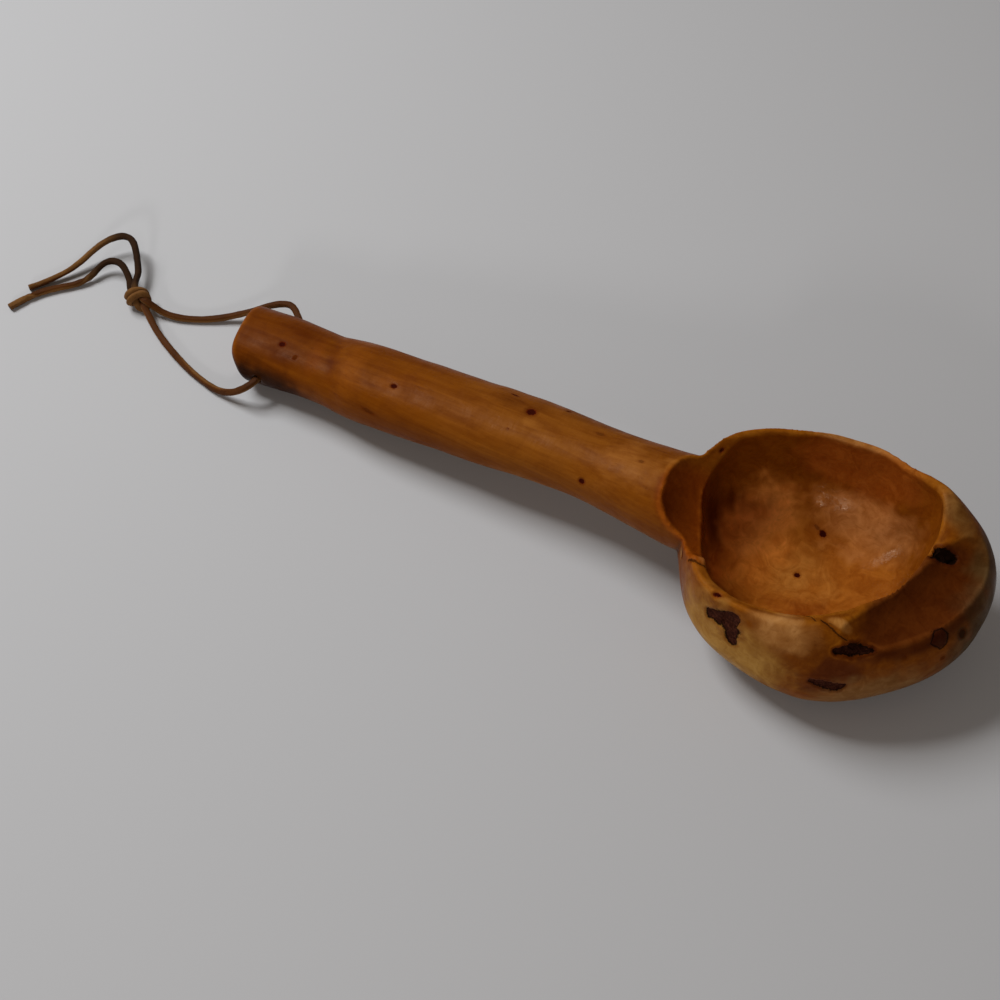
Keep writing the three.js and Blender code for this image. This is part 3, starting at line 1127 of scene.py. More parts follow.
@dataclass
class LaceTie:
    """The overhand knot that both strands are tied in together, laid out and then drawn tight.

    A laid-out point gives the distance from the legs towards the tails, the distance across, and the
    height over the floor.
    """

    middle: Point
    front: tuple[Point, ...] = (
        (-7, -0.6, 4.2), (-3, -1.6, 4.5), (0.5, -1.6, 4.4), (3, -1.2, 3), (3.2, 0.8, 1.7), (2.2, 3.6, 2.2),
        (1, 5, 5.5), (-0.6, 3.6, 9.2), (-1.6, 0, 10.4), (-2.4, -3.6, 9), (-3.4, -4.9, 5.6), (-4.4, -3.6, 2.2),
        (-5, 0.2, 1.7), (-5.2, 2.6, 3.6), (-4, 2.2, 6.6), (-1, 1.6, 7.4), (2.5, 1.6, 7.4), (7, 1, 7),
    )
    back: tuple[Point, ...] = (
        (-7, -2.4, 6.6), (-3, -1.6, 7.4), (0.5, -1.6, 7.4), (4.5, -1.6, 6.6), (6.2, -1, 3.6), (6, 1.2, 1.7),
        (4.8, 3.8, 2.4), (3.6, 5, 5.5), (2.4, 3.6, 9.2), (1.4, 0, 10.4), (0.6, -3.6, 9), (-0.4, -4.9, 5.6),
        (-1.6, -3.6, 2.2), (-2.2, 0.2, 1.7), (-2.6, 2.4, 2.9), (-1.2, 1.8, 4.4), (1.6, 1.6, 4.5),
        (7, 2.4, 4.6),
    )
    gap: float = 2.95
    lowest: float = 1.75
    count: int = 72
    rounds: int = 90
    laid_points: int = 400
    laid_rounds: int = 120
    relaxing: float = 0.36
    centring: float = 0.1
    core: tuple[float, float] = (0.35, 0.65)
    end_share: float = 0.25
    pushes: int = 6
    clearance: float = 1.01
    neighbour_gaps: float = 1.5

    def laid(self, legs: np.ndarray, tails: np.ndarray) -> list[np.ndarray]:
        """Lay both strands out loosely between their legs and tails.

        Args:
            legs: Where the front and the back strand come in.
            tails: Where they leave.

        Returns:
            The two strands' points.
        """
        forward = (tails.mean(0) - legs.mean(0)) * (1, 1, 0)
        forward /= np.linalg.norm(forward)
        left = np.cross((0, 0, 1), forward)
        strands = []
        for points, leg, tail in zip((self.front, self.back), legs, tails):
            middle = [
                np.array(self.middle) * (1, 1, 0) + ahead * forward + across * left + (0, 0, height)
                for ahead, across, height in points
            ]
            line = smoothed(resampled(np.array([leg, *middle, tail]), self.laid_points), self.laid_rounds)
            strands.append(resampled(line, self.count))
        return strands

    def push(self, points: np.ndarray, next_to: np.ndarray) -> np.ndarray:
        """Find how far points that are too near each other are pushed apart.

        Args:
            points: Both strands' points.
            next_to: For each two points, whether they are neighbours on one strand.

        Returns:
            Each point's move.
        """
        between = points[:, None] - points[None]
        distance = np.sqrt((between**2).sum(-1)) + 1e-9
        overlap = np.clip(self.gap * self.clearance - distance, 0, None)
        overlap[next_to] = 0
        np.fill_diagonal(overlap, 0)
        touching = np.maximum((overlap > 0).sum(1), 1)[:, None]
        return (between / distance[..., None] * (overlap * 0.5)[..., None]).sum(1) / np.sqrt(touching)

    def drawn_tight(self, legs: np.ndarray, tails: np.ndarray) -> list[np.ndarray]:
        """Draw the strands tight, while they keep a strand's thickness apart.

        Args:
            legs: Where the front and the back strand come in.
            tails: Where they leave.

        Returns:
            The two strands' points.
        """
        count = self.count
        points = np.concatenate(self.laid(legs, tails))
        pins = [0, count - 1, count, 2 * count - 1]
        held = points[pins].copy()
        index = np.tile(np.arange(count), 2)
        strand = np.repeat((0, 1), count)
        apart = np.abs(index[:, None] - index[None])
        same = strand[:, None] == strand[None]
        free = np.clip(np.minimum(index, count - 1 - index) / (self.end_share * count), 0, 1)[:, None]
        core = (index > self.core[0] * count) & (index < self.core[1] * count)
        for _ in range(self.rounds):
            step = length_of(points[:count]) / (count - 1)
            next_to = same & (apart * step < self.neighbour_gaps * self.gap)
            for start in (0, count):
                line = points[start:start + count]
                line[1:-1] += self.relaxing * (0.5 * (line[:-2] + line[2:]) - line[1:-1])
            points[:, :2] += (self.centring * free * (np.array(self.middle) - points[core].mean(0)))[:, :2]
            for _ in range(self.pushes):
                points += self.push(points, next_to)
                points[:, 2] = np.maximum(points[:, 2], self.lowest)
                points[pins] = held
            for start in (0, count):
                points[start:start + count] = resampled(points[start:start + count], count)
        return [points[:count], points[count:]]


@dataclass
class Lace:
    """The lace through the handle: two strands from the hole's middle, tied together, with bare tails."""

    hole: Point = (-285.0, 0.0, 13.5)
    hole_mouths: tuple[float, float] = (-18.4, 20.0)
    front_leg: tuple[Point, ...] = (
        (-1.2, -22.2, 12.9), (-4, -23.8, 10.4), (-9, -25, 6.4), (-15.5, -25.6, 3.4), (-23, -25, 2.1),
        (-36, -22, 1.8), (-49, -17.4, 1.8), (-60, -12.6, 1.8), (-69, -8.2, 2.4),
    )
    back_leg: tuple[Point, ...] = (
        (-2.6, 22.8, 13.5), (-7.6, 27.2, 13.3), (-12.4, 30.9, 12.7), (-17, 32.2, 11.8), (-24.5, 29.4, 9.8),
        (-34.8, 22.6, 5.4), (-45, 15.4, 2.6), (-54, 9.4, 1.8), (-64, 4.6, 1.9), (-72, 2.6, 2.8),
    )
    long_tail: tuple[Point, ...] = (
        (-97, 15.4, 7.4), (-101.5, 20.8, 9.4), (-106.5, 26, 10.8), (-111.5, 29.8, 11.3), (-116.5, 30.2, 11.2),
        (-120.6, 27.2, 10.6), (-124, 22.4, 9.4), (-126.6, 16, 7.4), (-128.6, 9, 5.2), (-131, 2.2, 3.6),
        (-134.4, -4.4, 2.5), (-138, -10.8, 1.9), (-142, -17, 1.75),
    )
    short_tail: tuple[Point, ...] = (
        (-98.5, 9.8, 6), (-102.8, 13, 7.2), (-107, 15.2, 8), (-111.5, 15.8, 8), (-115.6, 14.4, 7),
        (-118, 11, 5.4), (-118.8, 6.8, 3.9), (-120, 2.4, 2.6), (-123.2, -2.8, 1.8), (-128, -8.2, 1.75),
        (-133, -14, 1.75), (-136.6, -20, 1.75), (-139.4, -26.4, 1.75), (-141.4, -32.6, 1.75),
    )
    tie_place: Point = (-87.3, 1.8, 5.6)
    width: float = 3.3
    thickness: float = 2.8
    step: float = 0.8
    section_points: int = 20
    squareness: float = 3.0
    # Where along the lace the darker stretch lies, and its half length.
    darkened_stretch: tuple[float, float] = (180.0, 36.0)
    turned_stretch: tuple[float, float] = (204.0, 236.0)
    front_length: float = 254.0
    back_length: float = 248.0
    inside_shares: tuple[float, ...] = (0, 0.35, 0.7, 1)
    twist_drift: float = 0.75
    twist_sway: float = 0.35
    width_drift: float = 0.045
    nick_depth: float = 0.05
    side_fall: float = 0.55
    finish: LeatherLace = field(default_factory=LeatherLace)

    def at_hole(self, points: tuple[Point, ...]) -> np.ndarray:
        """Return route points as row points, from x counted from the hole."""
        return np.array(points, float) + (self.hole[0], 0, 0)

    def routes(self) -> dict[Side, np.ndarray]:
        """Run both strands from the hole's middle, down their legs, through the tie and along their tails.

        Returns:
            Each side's line, evenly spaced.
        """
        legs = [self.at_hole(self.front_leg), self.at_hole(self.back_leg)]
        tails = [self.at_hole(self.long_tail), self.at_hole(self.short_tail)]
        tie = LaceTie(middle=tuple(self.at_hole((self.tie_place,))[0]))
        tied = tie.drawn_tight(np.array([leg[-1] for leg in legs]), np.array([tail[0] for tail in tails]))
        routes = {}
        for side, mouth, leg, knotted, tail in zip(Side, self.hole_mouths, legs, tied, tails):
            inside = np.array([(self.hole[0], share * mouth, self.hole[2]) for share in self.inside_shares])
            down = curved(np.concatenate([inside, leg, knotted[3:6]]), self.step)
            out = curved(np.concatenate([knotted[-6:-3], tail]), self.step)
            line = np.concatenate([down[:-1], knotted[6:-6], out[1:]])
            routes[side] = stepped(smoothed(stepped(line, self.step), 6), self.step)
        return routes

    def frames(self, line: np.ndarray) -> tuple[np.ndarray, np.ndarray]:
        """Carry a frame along a line without twisting it.

        Args:
            line: The line's points.

        Returns:
            The ways across and up at each point.
        """
        ahead = np.gradient(line, axis=0)
        ahead /= np.linalg.norm(ahead, axis=1)[:, None]
        up = np.empty_like(line)
        turned = np.array([0.0, 0.0, 1.0])
        for index, way in enumerate(ahead):
            turned = turned - way * (turned @ way)
            turned /= np.linalg.norm(turned)
            up[index] = turned
        return np.cross(ahead, up), up

    def twist(self, side: Side, run: np.ndarray, rough: Unevenness) -> np.ndarray:
        """Twist a strand as a lace lies that has been handled.

        Args:
            side: Which strand it is.
            run: Distances along it.
            rough: The strand's unevenness.

        Returns:
            The angle at each distance, with the back strand turned over on one stretch.
        """
        drift = rough.at(np.stack([run, run * 0, run * 0], axis=1), 27.0)
        twist = self.twist_drift * drift + self.twist_sway * np.sin(run / 21 + side.value)
        if side is Side.BACK:
            start, end = self.turned_stretch
            twist += math.pi * smoothstep(start - 6, start + 6, run) * smoothstep(end + 5, end - 5, run)
        return twist

    def keep_section(self, mesh: bpy.types.Mesh, stored: np.ndarray, rough: Unevenness) -> None:
        """Store where each point lies in the lace, for its material.

        Args:
            mesh: The strand's mesh.
            stored: Each point's distance along, across and up the lace.
            rough: The strand's unevenness.
        """
        kept = MeshPoints(mesh)
        for name, column in zip(("run", "across", "rise"), stored.T):
            kept.keep(name, column)
        high, wide = stored[:, 2] / (self.thickness / 2), np.abs(stored[:, 1]) / (self.width / 2)
        kept.keep("grain_side", high - self.side_fall * wide)
        # A stretch of each strand, round a given distance along it, is made darker.
        middle, half = self.darkened_stretch
        away = np.abs(stored[:, 0] - middle) + 4 * rough.at(stored, 8.0)
        kept.keep("darkened", smoothstep(half, 0.4 * half, away))

    def strand(self, side: Side, line: np.ndarray) -> bpy.types.Object:
        """Draw the lace's rounded square section along a line.

        Args:
            side: Which strand it is.
            line: The line's points.

        Returns:
            The strand.
        """
        across, up = self.frames(line)
        run = np.linspace(0, length_of(line), len(line))
        rough = Unevenness(31 + side.value)
        twist = self.twist(side, run, rough)
        wide, high = quarter(full_turn(self.section_points), self.squareness)
        grown = 1 + self.width_drift * rough.at(np.stack([run, run * 0 + 9, run * 0], axis=1), 3.5)
        x = wide[None] * (self.width / 2) * grown[:, None]
        y = high[None] * (self.thickness / 2) * grown[:, None]
        cosine, sine = np.cos(twist)[:, None], np.sin(twist)[:, None]
        places = (
            line[:, None]
            + (x * cosine - y * sine)[..., None] * across[:, None]
            + (x * sine + y * cosine)[..., None] * up[:, None]
        )
        nicks = rough.at(places.reshape(-1, 3), 1.6).reshape(x.shape)
        places += self.nick_depth * nicks[..., None] * (places - line[:, None])
        made = lofted(f"thong_{side.name.lower()}_strand", places[:, ::-1])
        stored = np.stack([np.broadcast_to(run[:, None], x.shape), x, y], axis=2)[:, ::-1].reshape(-1, 3)
        ends = np.array([[run[0], 0, 0], [run[-1], 0, 0]])
        self.keep_section(made.data, np.concatenate([stored, ends]), rough)
        made.data.shade_smooth()
        return made

    def build(self) -> list[bpy.types.Object]:
        """Returns:
            The front and the back strand.
        """
        material = self.finish.build()
        nodes = {
            Side.FRONT: ("thong_front_leg", "thong_bore_stretch", "thong_knot", "thong_long_tail"),
            Side.BACK: ("thong_back_leg", "thong_short_tail"),
        }
        strands = []
        for (side, line), mouth in zip(self.routes().items(), self.hole_mouths):
            made = self.strand(side, line)
            made.data.materials.append(material)
            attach(made, "thong")
            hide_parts(*nodes[side])
            log.info("%s: %.1f mm long", made.name, length_of(line))
            strands.append(made)
        return strands


# The burl ladle


@dataclass(frozen=True)
class Gouge:
    """A scooped cut: a squashed ball that is raised by its height, tilted, turned and put in place."""

    place: Point
    radii: Point
    heading: float = 0.0
    tilt: float = 0.0
    faces: int = 96
    rings: int = 48

    def build(self, centre: tuple[float, float]) -> bpy.types.Object:
        """Make the cutting shape.

        Args:
            centre: The cup's centre, from which the place is counted.

        Returns:
            The shape, closed.
        """
        turns = full_turn(self.faces)
        falls = np.linspace(-math.pi / 2, math.pi / 2, self.rings + 2)[1:-1]
        ball = np.stack([
            np.cos(falls)[:, None] * np.cos(turns)[None],
            np.cos(falls)[:, None] * np.sin(turns)[None],
            np.sin(falls)[:, None] + 0 * turns[None],
        ], axis=2)
        points = ball * self.radii + (0, 0, self.radii[2])
        tilt, heading = math.radians(self.tilt), math.radians(self.heading)
        tipped = np.array([
            [math.cos(tilt), 0, math.sin(tilt)], [0, 1, 0], [-math.sin(tilt), 0, math.cos(tilt)],
        ])
        swung = np.array([
            [math.cos(heading), -math.sin(heading), 0], [math.sin(heading), math.cos(heading), 0], [0, 0, 1],
        ])
        return lofted("gouge", points @ tipped.T @ swung.T + (*centre, 0) + self.place)


@dataclass
class Bowl:
    """The cup: each list gives sizes at equal steps round its centre, counterclockwise from +X."""

    centre: tuple[float, float] = (-15.0, 5.0)
    mouth_radius: tuple[float, ...] = (
        47.5, 51, 56, 60, 53, 50, 46.5, 46, 46, 48.5, 51, 50,
        48, 44.5, 43.5, 45, 48.5, 49, 48.5, 48, 46.5, 45, 44, 46,
    )
    rim_height: tuple[float, ...] = (52, 55, 58, 59, 59, 58, 56, 50, 51, 54.5, 54.5, 52.5)
    lip_width: tuple[float, ...] = (5, 4.5, 1.8, 1.8, 1.6, 2.4, 7.5, 4, 4, 4, 4, 5)
    belly_radius: tuple[float, ...] = (79.5, 80.5, 57, 53, 50, 56, 56, 52, 55, 57.5, 65, 70.5)
    belly_height: tuple[float, ...] = (30, 33, 36, 38, 38, 36, 32, 28, 26, 25, 25, 27)
    foot_half: tuple[float, float] = (20.0, 17.0)
    floor_thickness: float = 11.0
    lip_fall: float = 1.2
    underside_fullness: float = 2.1
    shoulder_fullness: float = 2.0
    hollow_fullness: float = 2.7
    faces: int = 200
    rings: int = 34

    def ring(self, radius: np.ndarray, height: np.ndarray) -> np.ndarray:
        """Make one ring round the cup's centre.

        Args:
            radius: The radius at each angle.
            height: The height at each angle.

        Returns:
            The ring's points.
        """
        angle = full_turn(self.faces)
        x, y = self.centre
        return np.stack([x + radius * np.cos(angle), y + radius * np.sin(angle), height + 0 * angle], axis=1)

    def turns(self) -> np.ndarray:
        """Return the angles of the rings from one end of a quarter turn to the other."""
        return np.linspace(0, TAU / 4, self.rings + 1)

    def foot_radius(self) -> np.ndarray:
        """Measure the oval foot from the cup's centre.

        Returns:
            How far the foot's edge is at each angle.
        """
        angle = full_turn(self.faces)
        way = np.stack([np.cos(angle), np.sin(angle)], axis=1) / self.foot_half
        centre = np.array(self.centre) / self.foot_half
        a, b = (way**2).sum(1), way @ centre
        return (np.sqrt(b * b - a * (centre @ centre - 1)) - b) / a

    def outside(self) -> bpy.types.Object:
        """Make the burl before it is hollowed.

        Returns:
            The solid burl.
        """
        angle = full_turn(self.faces)
        foot, belly = self.foot_radius(), around(self.belly_radius, angle)
        low, rim = around(self.belly_height, angle), around(self.rim_height, angle)
        mouth = around(self.mouth_radius, angle)
        crest = mouth + around(self.lip_width, angle)
        rings = []
        for turn in self.turns():
            fall, swell = quarter(turn, self.underside_fullness)
            rings.append(self.ring(foot + (belly - foot) * swell, low * (1 - fall)))
        for turn in self.turns()[1:]:
            out, rise = quarter(turn, self.shoulder_fullness)
            rings.append(self.ring(crest + (belly - crest) * out, low + (rim - low) * rise))
        rings.append(self.ring(mouth, rim - self.lip_fall))
        return lofted("burl", np.array(rings))

    def hollow(self) -> bpy.types.Object:
        """Make what is carved out of the burl.

        Returns:
            The hollow as a solid, up past the rim.
        """
        angle = full_turn(self.faces)
        rim, mouth = around(self.rim_height, angle), around(self.mouth_radius, angle)
        rings = []
        for turn in self.turns()[1:]:
            fall, spread = quarter(turn, self.hollow_fullness)
            rings.append(self.ring(mouth * spread, rim - (rim - self.floor_thickness) * fall))
        rings.append(self.ring(mouth, 2 * rim))
        return lofted("hollow", np.array(rings))


@dataclass
class Handle:
    """The handle, from the butt to where it runs into the burl."""

    butt_x: float = -305.0
    length: float = 250.0
    station: float = 24.0
    half_width: tuple[float, ...] = (19, 18.9, 17.8, 19.8, 20, 19.7, 19.6, 18.6, 17.8, 19, 21)
    half_thickness: tuple[float, ...] = (14, 14, 13.6, 15, 15.2, 15, 15, 14.6, 15, 17, 19)
    side_sway: tuple[float, ...] = (0, 1, 1.2, 1.2, 1.6, 2.4, 3.4, 4, 3.2, 1.6, 0.6)
    rise: float = 0.108
    fullness: float = 2.3
    butt_round: float = 2.5
    corner_round: float = 14.0
    corner_turn: float = 0.57
    faces: int = 120
    rings: int = 150
    butt_rings: int = 16

    def build(self) -> bpy.types.Object:
        """Make the handle.

        Returns:
            The handle, closed.
        """
        angle = full_turn(self.faces)
        across, up = quarter(angle, self.fullness)
        corner = np.clip(np.cos(angle - self.corner_turn * TAU), 0, None) ** 2
        radius = self.butt_round + (self.corner_round - self.butt_round) * corner
        shares = 1 - np.cos(np.linspace(0, TAU / 4, self.butt_rings))
        straight = np.linspace(self.corner_round, self.length, self.rings)[1:]
        rings = []
        for distance in (*(shares * self.corner_round), *straight):
            short = np.clip(radius - distance, 0, None)
            back = np.where(distance >= radius, 0, radius - np.sqrt(np.clip(radius**2 - short**2, 0, None)))
            width = along(self.half_width, distance, self.station)
            thickness = along(self.half_thickness, distance, self.station)
            rings.append(np.stack([
                0 * angle + self.butt_x + distance,
                along(self.side_sway, distance, self.station) + (width - back) * across,
                self.half_thickness[0] + self.rise * distance + (thickness - back) * up,
            ], axis=1))
        return lofted("handle", np.array(rings))


@dataclass(frozen=True)
class Oval:
    """A round place on the surface, which may be stretched one way."""

    place: Point
    radius: float
    stretch: float = 1.0
    way: Point = (1.0, 0.0, 0.0)


@dataclass(frozen=True)
class Knot:
    """A small knot in the wood, with how dark it is and how deep it sits."""

    oval: Oval
    darkness: float = 1.0
    dent: float = 0.0


@dataclass(frozen=True)
class BarkPocket:
    """A place where bark grew in, along a line of points with a half width at each."""

    line: tuple[Point, ...]
    halves: tuple[float, ...]
    depth: float
    blackness: float = 0.0


@dataclass(frozen=True)
class Seam:
    """A thin dark line on the surface: a crack, or the edge of old growth."""

    line: tuple[Point, ...]
    half: float
    depth: float = 0.25


@dataclass(frozen=True)
class Dent:
    """A shallow soft groove along a line of points, or a ridge where its depth is negative."""

    line: tuple[Point, ...]
    half: float
    depth: float


@dataclass(frozen=True)
class Tint:
    """A patch where the wood turns towards another colour, from its core out to its edge."""

    oval: Oval
    colour: Rgb
    strength: float = 1.0
    ragged: float = 0.25
    core: float = 0.45


class Surface:
    """Finds distances on the carved surface to points and lines, on the side that they lie on."""

    def __init__(self, points: MeshPoints) -> None:
        """Read the surface.

        Args:
            points: The carved mesh's points.
        """
        self.points = points
        self.places = points.places.copy()
        self.normals = points.normals()

    def same_side(self, place: np.ndarray) -> np.ndarray:
        """Return which points face the way that the surface faces nearest a place."""
        nearest = np.argmin(((self.places - place) ** 2).sum(1))
        return self.normals @ self.normals[nearest] > -0.1

    def from_oval(self, oval: Oval) -> np.ndarray:
        """Measure from an oval's middle.

        Args:
            oval: The oval.

        Returns:
            Each point's distance in the oval's radii.
        """
        away = self.places - oval.place
        way = np.array(oval.way) / np.linalg.norm(oval.way)
        run = away @ way
        rest = np.linalg.norm(away - run[:, None] * way, axis=1)
        return np.hypot(run / oval.stretch, rest) / oval.radius

    def from_mark(self, oval: Oval) -> np.ndarray:
        """Return the same for a mark that shows on one side of the wood only."""
        return np.where(self.same_side(np.array(oval.place)), self.from_oval(oval), 9.0)

    def off_stretch(self, start: np.ndarray, end: np.ndarray) -> tuple[np.ndarray, np.ndarray]:
        """Measure the points from a straight stretch.

        Args:
            start: Where the stretch starts.
            end: Where it ends.

        Returns:
            For each point, how far along the stretch it lies and the way to it from there.
        """
        way = end - start
        share = np.clip((self.places - start) @ way / (way @ way), 0, 1)
        return share, self.places - (start + share[:, None] * way)

    def from_pocket(self, pocket: BarkPocket, noise: Unevenness) -> np.ndarray:
        """Measure a bark pocket's ragged form.

        Args:
            pocket: The pocket.
            noise: What makes its edge ragged.

        Returns:
            1 on the pocket's line, 0 at its edge and less outside.
        """
        line = np.array(pocket.line, float)
        best = np.full(len(self.places), 9.0)
        for start, end, first, last in zip(line[:-1], line[1:], pocket.halves[:-1], pocket.halves[1:]):
            share, away = self.off_stretch(start, end)
            best = np.minimum(best, np.linalg.norm(away, axis=1) / (first + share * (last - first)))
        size = 0.5 * (min(pocket.halves) + max(pocket.halves))
        ragged = 0.32 * noise.at(self.places, 0.9 * size) + 0.2 * noise.at(self.places + 30, 0.4 * size)
        form = np.clip(1 - best - ragged, -1, 1)
        return np.where(self.same_side(line[len(line) // 2]), form, -1.0)

    def from_line(self, line: tuple[Point, ...]) -> tuple[np.ndarray, np.ndarray]:
        """Measure from a line of points.

        Args:
            line: The line's points.

        Returns:
            Each point's distance from the line, and the same with a sign for the side of it.
        """
        best = np.full(len(self.places), 1e9)
        signed = best.copy()
        for start, end in zip(np.array(line, float)[:-1], np.array(line, float)[1:]):
            way = end - start
            _, away = self.off_stretch(start, end)
            distance = np.linalg.norm(away, axis=1)
            side = np.einsum("ij,ij->i", away, np.cross(way / np.linalg.norm(way), self.normals))
            nearer = distance < best
            best = np.where(nearer, distance, best)
            signed = np.where(nearer, side, signed)
        middle = np.array(line[len(line) // 2])
        return np.where(self.same_side(middle), best, 1e9), signed


